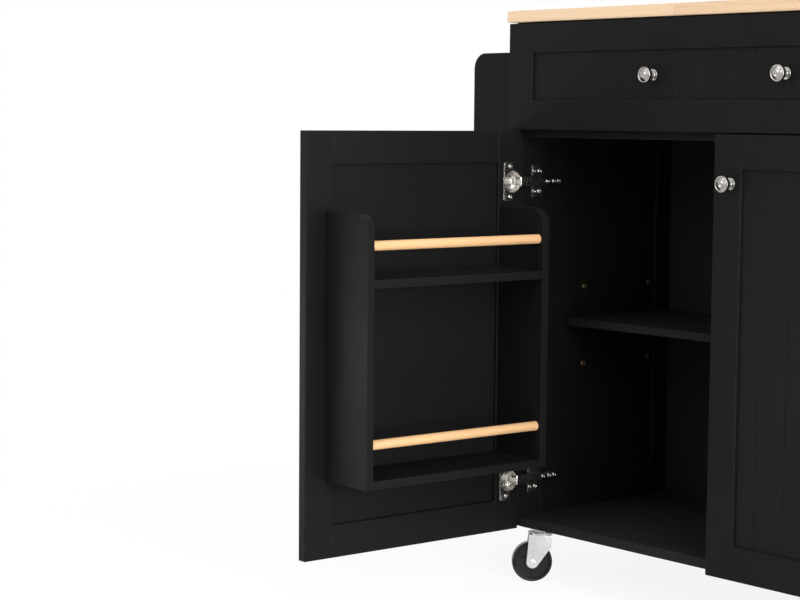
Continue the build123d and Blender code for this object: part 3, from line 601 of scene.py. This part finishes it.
def new_piece(name, shell, finish, body=None, node=None):
    """A piece from a shell, smooth but for its sharp edges, that may stand for a CAD node."""
    bmesh.ops.recalc_face_normals(shell, faces=shell.faces)
    for face in shell.faces:
        face.smooth = True
    for edge in shell.edges:
        if len(edge.link_faces) == 2 and edge.calc_face_angle(0.0) > SHARP:
            edge.smooth = False
    mesh = bpy.data.meshes.new(name)
    shell.to_mesh(mesh)
    shell.free()
    mesh.materials.append(bpy.data.materials[finish])
    piece = bpy.data.objects.new(name, mesh)
    bpy.context.scene.collection.objects.link(piece)
    if body:
        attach(piece, body)
    if node:
        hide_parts(node)
    return piece


def eased_copy(node, name, radius, finish, body, clamp=False):
    """A piece in the place of a stamped or milled solid, its sharp edges truly rounded."""
    shell = node_shell(node)
    bmesh.ops.dissolve_limit(shell, angle_limit=math.radians(1), verts=shell.verts, edges=shell.edges)
    shell.normal_update()
    sharp = [edge for edge in shell.edges if edge.calc_face_angle(0.0) > SHARP]
    bmesh.ops.bevel(
        shell, geom=sharp, offset=radius, offset_type="OFFSET", segments=2, profile=0.5,
        affect="EDGES", clamp_overlap=clamp)
    bmesh.ops.triangulate(shell, faces=[face for face in shell.faces if len(face.verts) > 4])
    return new_piece(name, shell, finish, body, node)


def frame_along(axis):
    """Two directions square to an axis, and the axis itself."""
    forward = Vector(axis).normalized()
    start = Vector((0, 0, 1)) if abs(forward.z) < 0.9 else Vector((1, 0, 0))
    side = forward.cross(start).normalized()
    return side, forward.cross(side).normalized(), forward


def add_ring(shell, centre, axes, radius, count):
    """A ring of corners about an axis, or its one corner where the ring has no width."""
    if radius == 0:
        return [shell.verts.new(centre)]
    side, other, _ = axes
    ring = []
    for step in range(count):
        angle = 2 * math.pi * step / count
        ring.append(shell.verts.new(
            centre + side * (radius * math.cos(angle)) + other * (radius * math.sin(angle))))
    return ring


def join_rings(shell, first, second):
    """Faces between two rings, either of which may be a single corner."""
    count = max(len(first), len(second))
    for step in range(count):
        following = (step + 1) % count
        corners = [first[step % len(first)], first[following % len(first)],
                   second[following % len(second)], second[step % len(second)]]
        shell.faces.new(list(dict.fromkeys(corners)))


def add_turning(shell, centre, axes, outline, count, hollow=False):
    """A turned solid from an outline of (radius, distance along the axis)."""
    rings = [add_ring(shell, centre + axes[2] * along, axes, radius, count) for radius, along in outline]
    pairs = list(zip(rings, rings[1:]))
    if hollow:
        pairs.append((rings[-1], rings[0]))
    for first, second in pairs:
        join_rings(shell, first, second)
    if not hollow:
        for end in (rings[0], rings[-1]):
            if len(end) > 1:
                shell.faces.new(end)


def smooth_line(guides, steps=4):
    """A smooth outline led by a few guide points, from the first to the last."""
    points = [Vector(guide) for guide in guides]
    line = [points[0]]
    last = len(points) - 2
    for index in range(1, last + 1):
        before, guide, after = points[index - 1:index + 2]
        start = before if index == 1 else (before + guide) / 2
        end = after if index == last else (guide + after) / 2
        for step in range(1, steps + 1):
            share = step / steps
            line.append(start.lerp(guide, share).lerp(guide.lerp(end, share), share))
    return [tuple(point) for point in line]


def in_metres(outline):
    """Pairs of lengths written in millimetres, carried to metres."""
    return [(first * 0.001, second * 0.001) for first, second in outline]


def both_halves(outline):
    """An outline and its mirror image across the middle of its axis."""
    return list(outline) + [(radius, -along) for radius, along in reversed(outline)]


# Knobs

# Radius and distance from the board: a rosette, a waist, and a domed head with a bead round it
KNOB_GUIDES = (
    (9.0, 0.0), (9.0, 1.3), (8.9, 2.3), (7.0, 2.7), (5.0, 3.4), (4.6, 6.4), (4.8, 9.6),
    (6.6, 13.0), (10.6, 14.6), (12.0, 15.8), (12.0, 17.6), (12.0, 19.4), (11.8, 20.9), (10.9, 21.4),
    (10.1, 21.0), (9.6, 20.8), (8.6, 21.9), (5.6, 24.4), (2.6, 25.0), (0.0, 25.0),
)


def build_knobs(name, node, outward, body):
    """Turned knobs in the places of one node's plain ones."""
    shell = bmesh.new()
    axes = frame_along(outward)
    for island in node_islands(node):
        middle = box_middle(island)
        foot = min((corner - middle).dot(axes[2]) for corner in island)
        outline = in_metres(smooth_line(KNOB_GUIDES))
        add_turning(shell, middle + axes[2] * foot, axes, outline, count=64)
    new_piece(name, shell, NICKEL, body, node)


# Screws

# Six corners of the head to each quarter of its cross
SCREW_SIDES = 24
# A plain screw has six sides, and its corners that reach this share of its width are its head's
PLAIN_SIDES = 6
HEAD_SHARE = 0.97


def cross_outline(centre, axes, reach, half_slot):
    """The twelve corners of a cross."""
    side, other, _ = axes
    plan = []
    for quarter in range(4):
        angle = quarter * math.pi / 2
        for x, y in ((reach, -half_slot), (reach, half_slot), (half_slot, half_slot)):
            plan.append((
                x * math.cos(angle) - y * math.sin(angle), x * math.sin(angle) + y * math.cos(angle)))
    return [centre + side * x + other * y for x, y in plan]


def screw_sizes(island, axis):
    """A plain six-sided screw's radii, its levels along the axis, and the way its head points."""
    forward = Vector(axis).normalized()
    middle = box_middle(island)
    reach = [(corner - middle).dot(forward) for corner in island]
    width = [(corner - middle - forward * along).length for corner, along in zip(island, reach)]
    widest = max(width)
    wide = [along for along, radius in zip(reach, width) if radius > widest * HEAD_SHARE]
    way = -1 if sum(wide) < 0 else 1
    levels = [along * way for along in reach]
    seat = min(along * way for along in wide)
    shank = max(radius for along, radius in zip(levels, width) if along < seat - 1e-5)
    flat = math.cos(math.pi / PLAIN_SIDES)
    return (widest * flat, shank * flat), (max(levels), seat, min(levels)), forward * way


def add_screw(shell, island, axis, fittings, turn):
    """One cross-head screw in the place of its plain solid."""
    middle = box_middle(island)
    (head, shank), (top, seat, tip), forward = screw_sizes(island, axis)
    spun = Matrix.Rotation(turn, 3, forward)
    side, other, _ = frame_along(forward)
    axes = (spun @ side, spun @ other, forward)
    height = top - seat
    outline = (
        (shank * 0.55, tip), (shank, tip + shank * 0.5), (shank, seat), (head * 0.96, seat),
        (head, seat + height * 0.12), (head, seat + height * 0.45),
        (head * 0.93, seat + height * 0.8), (head * 0.76, top),
    )
    rings = [
        add_ring(shell, middle + forward * along, axes, radius, SCREW_SIDES) for radius, along in outline]
    for first, second in zip(rings, rings[1:]):
        join_rings(shell, first, second)
    shell.faces.new(rings[0])
    arm = head * fittings.recess_width
    slot = head * fittings.recess_slot
    floor_level = top - height * fittings.recess_depth
    mouth = [shell.verts.new(p) for p in cross_outline(middle + forward * top, axes, arm, slot)]
    deep_plan = cross_outline(middle + forward * floor_level, axes, arm * 0.45, slot * 0.6)
    deep = [shell.verts.new(p) for p in deep_plan]
    join_rings(shell, mouth, deep)
    shell.faces.new(deep)
    # The flat of the head lies between its outer ring and the mouth of the cross
    outer = rings[-1]
    per_quarter = SCREW_SIDES // 4
    for quarter in range(4):
        tip_low, tip_high, inner = mouth[quarter * 3:quarter * 3 + 3]
        following = mouth[(quarter * 3 + 3) % len(mouth)]
        around = [outer[(quarter * per_quarter + step) % SCREW_SIDES] for step in range(per_quarter + 1)]
        for corners in (
                (around[0], around[1], tip_high), (around[0], tip_high, tip_low),
                (around[1], around[2], tip_high), (around[2], inner, tip_high),
                (around[2], around[3], inner), (around[3], around[4], inner),
                (around[4], following, inner), (around[4], around[5], following),
                (around[5], around[6], following)):
            shell.faces.new(corners)


def build_screws(name, node, axis, body):
    """Cross-head screws in the place of one node's plain solids."""
    fittings = bpy.context.scene.island_fittings
    shell = bmesh.new()
    for index, island in enumerate(node_islands(node)):
        add_screw(shell, island, axis, fittings, math.radians(37 * index % 90))
    new_piece(name, shell, PLATE, body, node)


# Shelf pin sleeves

# Radius and distance from the panel's face: a bored tube in the panel with a collar on its face
SLEEVE_OUTLINE = (
    (2.55, -7.0), (3.8, -7.0), (3.8, 0.0), (4.5, 0.0), (4.5, 0.2), (4.25, 0.4), (3.0, 0.4), (2.55, 0.1),
)


def build_sleeves():
    """Collared sleeves in the places of the plain ones."""
    shell = bmesh.new()
    centre_x = node_middle("floor_panel").x
    for island in node_islands("pin_sleeves"):
        middle = box_middle(island)
        axes = frame_along((1, 0, 0) if middle.x < centre_x else (-1, 0, 0))
        face = max((corner - middle).dot(axes[2]) for corner in island)
        add_turning(
            shell, middle + axes[2] * face, axes, in_metres(SLEEVE_OUTLINE), count=32, hollow=True)
    new_piece("collared_sleeves", shell, BRASS, "cabinet", "pin_sleeves")


# Casters

# Radius and distance below the mounting plate: the ball race, the kingpin and its riveted head
RACE_OUTLINE = (
    (0.0, -0.1), (19.0, -0.1), (20.0, 0.9), (20.0, 1.7), (19.3, 2.5), (17.6, 2.6), (15.7, 2.9),
    (15.7, 5.3), (17.6, 5.6), (18.9, 5.8), (19.2, 6.3), (19.0, 7.0), (5.0, 7.0), (5.0, 10.1),
    (8.0, 10.1), (8.0, 11.2), (7.2, 12.1), (3.0, 12.1), (2.4, 11.6), (0.0, 11.6),
)
# Radius of the balls' circle and its distance below the plate
BALL_PATH = (17.3, 4.1)
# Radius and distance from the wheel's middle: bore, hub, web, rim, ring groove and tread
WHEEL_HALF = (
    (4.15, 10.2), (4.5, 10.5), (7.6, 10.5), (8.1, 10.1), (8.9, 6.9), (9.8, 6.1), (25.2, 6.0), (26.6, 6.3),
    (27.3, 7.4), (27.7, 9.5), (28.3, 10.0), (29.0, 10.1), (29.2, 9.5), (29.7, 9.5), (29.9, 10.0),
    (30.6, 9.7), (31.6, 8.9), (32.3, 7.5), (32.5, 5.8), (32.5, 2.8),
)
# The same for the axle: a dimple in its rolled head, and its shank
AXLE_HALF = (
    (0.0, 15.1), (1.5, 15.1), (2.1, 15.6), (3.4, 15.65), (4.7, 15.3), (5.4, 14.75), (5.5, 14.25),
    (4.0, 14.2),
)
# A rib on the wheel's face: distance from the wheel's middle and half its width there, then its reach
SPOKE_LEVELS = ((5.5, 1.9), (8.2, 1.5), (8.8, 1.0))
SPOKE_REACH = (7.0, 27.9)
FIRST_SPOKE = math.radians(30)
# The mounting plate, in metres
PLATE_THICKNESS = 0.0025
PLATE_CORNER = 0.004


def caster_axes(corner):
    """A wheel's middle, and the way it trails its swivel, up, and across its faces."""
    wheel = node_middle(f"{corner}_caster_wheel")
    plates = [box_middle(island) for island in node_islands("caster_plates")]
    centre = min(plates, key=lambda middle: (middle.xy - wheel.xy).length)
    trail = Vector((wheel.x - centre.x, wheel.y - centre.y, 0.0)).normalized()
    return wheel, (trail, Vector((0.0, 0.0, 1.0)), Vector((-trail.y, trail.x, 0.0)))


def rounded_rectangle(half_x, half_y, radius, steps=6):
    """The corners of a flat plate with round corners."""
    outline = []
    for quarter in range(4):
        way_x = 1 if quarter in (0, 3) else -1
        way_y = 1 if quarter < 2 else -1
        for step in range(steps + 1):
            angle = math.pi / 2 * (quarter + step / steps)
            outline.append((
                way_x * (half_x - radius) + radius * math.cos(angle),
                way_y * (half_y - radius) + radius * math.sin(angle)))
    return outline


def add_plate(shell, low, high, edge):
    """A flat plate with round corners and eased edges, between two corners of its box."""
    middle = (low + high) / 2
    half = (high - low) / 2
    rings = []
    for inset, height in ((edge, low.z), (0, low.z + edge), (0, high.z - edge), (edge, high.z)):
        outline = rounded_rectangle(half.x - inset, half.y - inset, PLATE_CORNER - inset)
        rings.append([shell.verts.new((middle.x + x, middle.y + y, height)) for x, y in outline])
    for first, second in zip(rings, rings[1:]):
        join_rings(shell, first, second)
    shell.faces.new(rings[0])
    shell.faces.new(rings[-1])


def build_caster_plates():
    """Mounting plates with their ball races and kingpins, and the balls in the races."""
    fittings = bpy.context.scene.island_fittings
    shell = bmesh.new()
    balls = bmesh.new()
    down = frame_along((0, 0, -1))
    reach, depth = in_metres([BALL_PATH])[0]
    for island in node_islands("caster_plates"):
        low, high = box_corners(island)
        under = high.z - PLATE_THICKNESS
        add_plate(shell, Vector((low.x, low.y, under)), high, fittings.sheet_edge)
        centre = Vector(((low.x + high.x) / 2, (low.y + high.y) / 2, under))
        add_turning(shell, centre, down, in_metres(RACE_OUTLINE), count=56)
        for index in range(fittings.ball_count):
            angle = 2 * math.pi * index / fittings.ball_count
            place = centre + Vector((reach * math.cos(angle), reach * math.sin(angle), -depth))
            bmesh.ops.create_icosphere(
                balls, subdivisions=2, radius=fittings.ball_size / 2, matrix=Matrix.Translation(place))
    new_piece("race_plates", shell, ZINC, "cabinet", "caster_plates")
    new_piece("race_balls", balls, BALL_STEEL, "cabinet")


def add_spoke(shell, centre, axes, angle, face):
    """One raised rib from the hub to the rim, narrower at its top."""
    trail, up, across = axes
    along = trail * math.cos(angle) + up * math.sin(angle)
    side = across.cross(along)
    near, far = in_metres([SPOKE_REACH])[0]
    rings = []
    for depth, half in in_metres(SPOKE_LEVELS):
        ring = []
        for reach, way in ((near, -1), (near, 1), (far, 1), (far, -1)):
            ring.append(shell.verts.new(
                centre + along * reach + side * (half * way) + across * (depth * face)))
        rings.append(ring)
    for first, second in zip(rings, rings[1:]):
        join_rings(shell, first, second)
    shell.faces.new(rings[0])
    shell.faces.new(rings[-1])


def build_wheel(corner, body):
    """A moulded wheel with a rounded tread, a grooved rim and raised spokes on both sides."""
    spokes = bpy.context.scene.island_fittings.spoke_count
    centre, axes = caster_axes(corner)
    shell = bmesh.new()
    add_turning(shell, centre, axes, in_metres(both_halves(WHEEL_HALF)), count=72, hollow=True)
    for index in range(spokes):
        angle = FIRST_SPOKE + 2 * math.pi * index / spokes
        for face in (-1, 1):
            add_spoke(shell, centre, axes, angle, face)
    new_piece(f"{corner}_moulded_wheel", shell, WHEEL, body, f"{corner}_caster_wheel")


def build_axle(corner, body):
    """A riveted axle with a rolled head at each end."""
    centre, axes = caster_axes(corner)
    shell = bmesh.new()
    add_turning(shell, centre, axes, in_metres(both_halves(AXLE_HALF)), count=40)
    new_piece(f"{corner}_rivet_axle", shell, ZINC, body, f"{corner}_caster_axle")


# Stage

# How far from the island the floor is at its greyest, and its share of pure white there
GREY_REACH = 0.6
GREY_WHITE = 0.88


def seen_directly(tree):
    """1 for what the camera sees, straight or in a reflection or through glass."""
    rays = add_node(tree, "ShaderNodeLightPath")
    seen = calc(tree, "MAXIMUM", rays.outputs["Is Camera Ray"], rays.outputs["Is Glossy Ray"])
    return calc(tree, "MAXIMUM", seen, rays.outputs["Is Transmission Ray"])


def lay_floor(stage):
    """A white floor that keeps a faint shadow near the island and fades into the white room."""
    tree = start_material("White floor")
    place = surface_place(tree)
    mottle = remap(tree, noise(tree, place, 3.0), 0.3, 0.7, 0.92, 0.95)
    paper = add_node(tree, "ShaderNodeCombineColor", {0: mottle, 1: mottle, 2: mottle})
    plain = add_node(tree, "ShaderNodeBsdfDiffuse", {"Color": paper.outputs[0], "Roughness": 0.6})
    bright = add_node(tree, "ShaderNodeEmission", {"Color": (1, 1, 1, 1), "Strength": 1.0})
    away = vectors(tree, "LENGTH", place)
    white = remap(tree, away, GREY_REACH, stage.shadow_reach, GREY_WHITE, 1.0)
    share = calc(tree, "MULTIPLY", seen_directly(tree), white)
    mixed = add_node(
        tree, "ShaderNodeMixShader", {0: share, 1: plain.outputs[0], 2: bright.outputs[0]})
    tree.links.new(mixed.outputs[0], tree.nodes["Material Output"].inputs[0])
    shell = bmesh.new()
    bmesh.ops.create_grid(shell, x_segments=4, y_segments=4, size=stage.floor_size / 2)
    new_piece("floor", shell, "White floor")


def light_room(scene, stage):
    """A white room: plain to look at, and an even light on the island."""
    world = bpy.data.worlds.new("White room")
    scene.world = world
    world.use_nodes = True
    tree = world.node_tree
    tree.nodes.clear()
    level = remap(tree, seen_directly(tree), 0.0, 1.0, stage.fill_level, 1.0)
    back = add_node(tree, "ShaderNodeBackground", {"Color": (1, 1, 1, 1), "Strength": level})
    leave = tree.nodes.new("ShaderNodeOutputWorld")
    tree.links.new(back.outputs[0], leave.inputs[0])


# Name, place, what it points at, width, height and watts of each lamp
SOFTBOXES = (
    ("key_softbox", (3.7, -1.7, 2.5), (0.0, 0.0, 0.5), 2.6, 2.6, 92.0),
    ("right_softbox", (3.1, -0.1, 0.6), (-0.3, -0.4, 0.3), 2.0, 1.2, 90.0),
    ("front_softbox", (0.1, -2.6, 1.9), (-0.1, 0.1, 0.3), 1.6, 1.6, 26.0),
    ("low_softbox", (-1.5, -1.5, 0.15), (-0.35, -0.35, 0.1), 1.7, 0.3, 9.0),
    ("top_softbox", (0.2, -0.4, 3.8), (0.0, 0.0, 0.5), 2.4, 2.4, 40.0),
    ("back_softbox", (-2.6, 3.6, 2.4), (0.0, 0.0, 0.5), 2.4, 2.4, 60.0),
)


def hang_lights(scene):
    """Large soft lamps round the island."""
    for name, place, aim, width, height, watts in SOFTBOXES:
        lamp = bpy.data.lights.new(name, "AREA")
        lamp.shape = "RECTANGLE"
        lamp.size = width
        lamp.size_y = height
        lamp.energy = watts
        holder = bpy.data.objects.new(name, lamp)
        holder.location = place
        holder.rotation_euler = (Vector(aim) - Vector(place)).to_track_quat("-Z", "Y").to_euler()
        scene.collection.objects.link(holder)


def set_camera(scene, stage):
    """A camera that stands where the photograph was taken from."""
    forward = Vector((
        -math.sin(stage.yaw) * math.cos(stage.pitch),
        math.cos(stage.yaw) * math.cos(stage.pitch), math.sin(stage.pitch)))
    level = Vector((math.cos(stage.yaw), math.sin(stage.yaw), 0.0))
    upright = level.cross(forward)
    right = math.cos(stage.roll) * level + math.sin(stage.roll) * upright
    up = -math.sin(stage.roll) * level + math.cos(stage.roll) * upright
    camera = bpy.data.cameras.new("camera")
    camera.lens = stage.lens
    camera.sensor_width = 36.0
    holder = bpy.data.objects.new("camera", camera)
    turned = Matrix((right, up, -forward)).transposed().to_4x4()
    holder.matrix_world = Matrix.Translation(Vector(stage.eye)) @ turned
    scene.collection.objects.link(holder)
    scene.camera = holder


# Operators


class ISLAND_OT_finishes(bpy.types.Operator):
    """Builds the shared effects and every material"""

    bl_idname = "island.finishes"
    bl_label = "Mix the finishes"

    def execute(self, context):
        for build in (build_eased_edges, build_handling, build_sprayed_film, build_grain, build_plating):
            build()
        scene = context.scene
        paint, timber, metal = scene.island_paint, scene.island_timber, scene.island_metal
        paint_material(
            LACQUER, paint.lacquer, (0.36, 0.46), paint.eased_edge, paint.peel_height, paint.sheen)
        # The inside boards' paint is flatter, and lighter as painted light that lifts their shade
        paint_material(
            LIGHTENED_BOARD_PAINT, paint.board, (0.5, 0.6), paint.eased_edge / 2, paint.peel_height * 2,
            paint.sheen * 0.6)
        worktop_material(timber)
        rail_material(RAIL, timber, math.radians(90))
        rail_material(DOOR_RAIL, timber, DOOR_AJAR)
        metal_material(NICKEL, metal.nickel, (0.16, 0.26), (700.0, 60.0, 700.0))
        metal_material(PLATE, metal.plate, (0.18, 0.3), (220.0, 500.0, 500.0))
        metal_material(ZINC, metal.zinc, (0.28, 0.42), (400.0, 400.0, 60.0))
        metal_material(BALL_STEEL, metal.zinc, (0.08, 0.16), (900.0, 900.0, 900.0))
        metal_material(BRASS, metal.brass, (0.24, 0.36), (300.0, 900.0, 900.0))
        wheel_material(metal.wheel)
        return {"FINISHED"}


class ISLAND_OT_paint(bpy.types.Operator):
    """Paints the boards, frames, panels, doors, drawer and racks black"""

    bl_idname = "island.paint"
    bl_label = "Paint the boards"

    def execute(self, context):
        dress(
            LACQUER, "black_paint",
            "left_side_frame", "right_side_frame", "left_side_panel", "right_side_panel",
            "drawer_divider", "top_rails", "side_rack_front_board", "side_rack_back_board",
            "side_rack_upper_shelf", "side_rack_lower_shelf",
            "left_door_frame", "left_door_panel", "right_door_frame", "right_door_panel",
            "door_rack_hinge_board", "door_rack_free_board",
            "door_rack_upper_shelf", "door_rack_lower_shelf",
            "drawer_front_frame", "drawer_front_panel",
            "drawer_left_side", "drawer_right_side", "drawer_back")
        # Floor, shelf, back and drawer bottom take the lightened paint: painted light that lifts the
        # shade inside the cabinet
        dress(LIGHTENED_BOARD_PAINT, "black_paint", "floor_panel", "adjustable_shelf")
        dress(LIGHTENED_BOARD_PAINT, "board_paint", "back_panel", "drawer_bottom")
        return {"FINISHED"}


class ISLAND_OT_timber(bpy.types.Operator):
    """Gives the worktop and the rack rails their wood"""

    bl_idname = "island.timber"
    bl_label = "Oil the wood"

    def execute(self, context):
        dress(WORKTOP, "worktop_wood", "worktop")
        dress(RAIL, "rail_wood", "side_rack_rails")
        dress(DOOR_RAIL, "rail_wood", "door_rack_rails")
        return {"FINISHED"}


class ISLAND_OT_knobs(bpy.types.Operator):
    """Turns the four knobs"""

    bl_idname = "island.knobs"
    bl_label = "Turn the knobs"

    def execute(self, context):
        outward = (-math.sin(DOOR_AJAR), -math.cos(DOOR_AJAR), 0)
        build_knobs("left_turned_knob", "left_door_knob", outward, "left_door")
        build_knobs("right_turned_knob", "right_door_knob", (0, -1, 0), "right_door")
        build_knobs("drawer_turned_knobs", "drawer_knobs", (0, -1, 0), "drawer")
        return {"FINISHED"}


class ISLAND_OT_hinges(bpy.types.Operator):
    """Plates the hinges, shelf pins and runners, and rounds their stamped edges"""

    bl_idname = "island.hinges"
    bl_label = "Plate the hinges"

    def execute(self, context):
        fittings = context.scene.island_fittings
        sheet, fine = fittings.sheet_edge, fittings.fine_edge
        eased_copy("hinge_plates", "stamped_plates", sheet * 0.8, PLATE, "cabinet")
        eased_copy("hinge_arms", "stamped_arms", sheet, PLATE, "cabinet", clamp=True)
        eased_copy("shelf_pins", "pressed_pins", fine, PLATE, "cabinet")
        for side in ("left", "right"):
            body = f"{side}_door"
            eased_copy(f"{side}_hinge_cups", f"{side}_drawn_cups", fine, PLATE, body)
            dress(PLATE, "hinge_nickel", f"{side}_hinge_pins")
        eased_copy("drawer_runners", "rolled_runners", fine, ZINC, "cabinet")
        eased_copy("drawer_slides", "rolled_slides", fine, ZINC, "drawer")
        build_sleeves()
        return {"FINISHED"}


class ISLAND_OT_casters(bpy.types.Operator):
    """Builds the mounting plates, ball races, forks, axles and wheels"""

    bl_idname = "island.casters"
    bl_label = "Mount the casters"

    def execute(self, context):
        edge = context.scene.island_fittings.sheet_edge
        build_caster_plates()
        for corner in CORNERS:
            swivel, wheel = f"{corner}_swivel", f"{corner}_wheel"
            eased_copy(
                f"{corner}_caster_fork", f"{corner}_pressed_fork", edge, ZINC, swivel)
            build_axle(corner, swivel)
            build_wheel(corner, wheel)
        return {"FINISHED"}


class ISLAND_OT_screws(bpy.types.Operator):
    """Turns the plain screws into cross-head screws"""

    bl_idname = "island.screws"
    bl_label = "Drive the screws"

    def execute(self, context):
        into_door = (math.sin(DOOR_AJAR), math.cos(DOOR_AJAR), 0)
        build_screws("hinge_cross_screws", "hinge_screws", (1, 0, 0), "cabinet")
        build_screws("caster_cross_screws", "caster_screws", (0, 0, 1), "cabinet")
        build_screws("left_cup_cross_screws", "left_cup_screws", into_door, "left_door")
        build_screws("right_cup_cross_screws", "right_cup_screws", (0, 1, 0), "right_door")
        return {"FINISHED"}


class ISLAND_OT_stage(bpy.types.Operator):
    """Lays the floor, hangs the lights and sets the camera"""

    bl_idname = "island.stage"
    bl_label = "Set the stage"

    def execute(self, context):
        scene = context.scene
        stage = scene.island_stage
        lay_floor(stage)
        light_room(scene, stage)
        hang_lights(scene)
        set_camera(scene, stage)
        scene.view_settings.view_transform = "Standard"
        return {"FINISHED"}


# Panel


class ISLAND_PT_panel(bpy.types.Panel):
    """The island's steps and sizes, in the 3D view's sidebar"""

    bl_idname = "ISLAND_PT_panel"
    bl_label = "Kitchen island"
    bl_space_type = "VIEW_3D"
    bl_region_type = "UI"
    bl_category = "Island"

    def draw(self, context):
        for step in STEPS:
            self.layout.operator(step.bl_idname)
        for group, (scene_name, title) in GROUPS.items():
            box = self.layout.box()
            box.label(text=title)
            for name in group.__annotations__:
                box.prop(getattr(context.scene, scene_name), name)


GROUPS = {
    IslandPaint: ("island_paint", "Paint"),
    IslandTimber: ("island_timber", "Timber"),
    IslandMetal: ("island_metal", "Metal"),
    IslandFittings: ("island_fittings", "Fittings"),
    IslandStage: ("island_stage", "Stage"),
}
STEPS = (
    ISLAND_OT_finishes,
    ISLAND_OT_paint,
    ISLAND_OT_timber,
    ISLAND_OT_knobs,
    ISLAND_OT_hinges,
    ISLAND_OT_casters,
    ISLAND_OT_screws,
    ISLAND_OT_stage,
)


def register():
    """Adds the classes, and the settings to every scene."""
    for group, (scene_name, _) in GROUPS.items():
        bpy.utils.register_class(group)
        setattr(bpy.types.Scene, scene_name, bpy.props.PointerProperty(type=group))
    for step in STEPS:
        bpy.utils.register_class(step)
    bpy.utils.register_class(ISLAND_PT_panel)


def unregister():
    """Takes them away again."""
    bpy.utils.unregister_class(ISLAND_PT_panel)
    for step in reversed(STEPS):
        bpy.utils.unregister_class(step)
    for group, (scene_name, _) in GROUPS.items():
        delattr(bpy.types.Scene, scene_name)
        bpy.utils.unregister_class(group)


def main():
    """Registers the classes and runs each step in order."""
    register()
    for step in STEPS:
        group, name = step.bl_idname.split(".")
        getattr(getattr(bpy.ops, group), name)()
    bpy.context.view_layer.update()


if __name__ == "__main__":
    main()
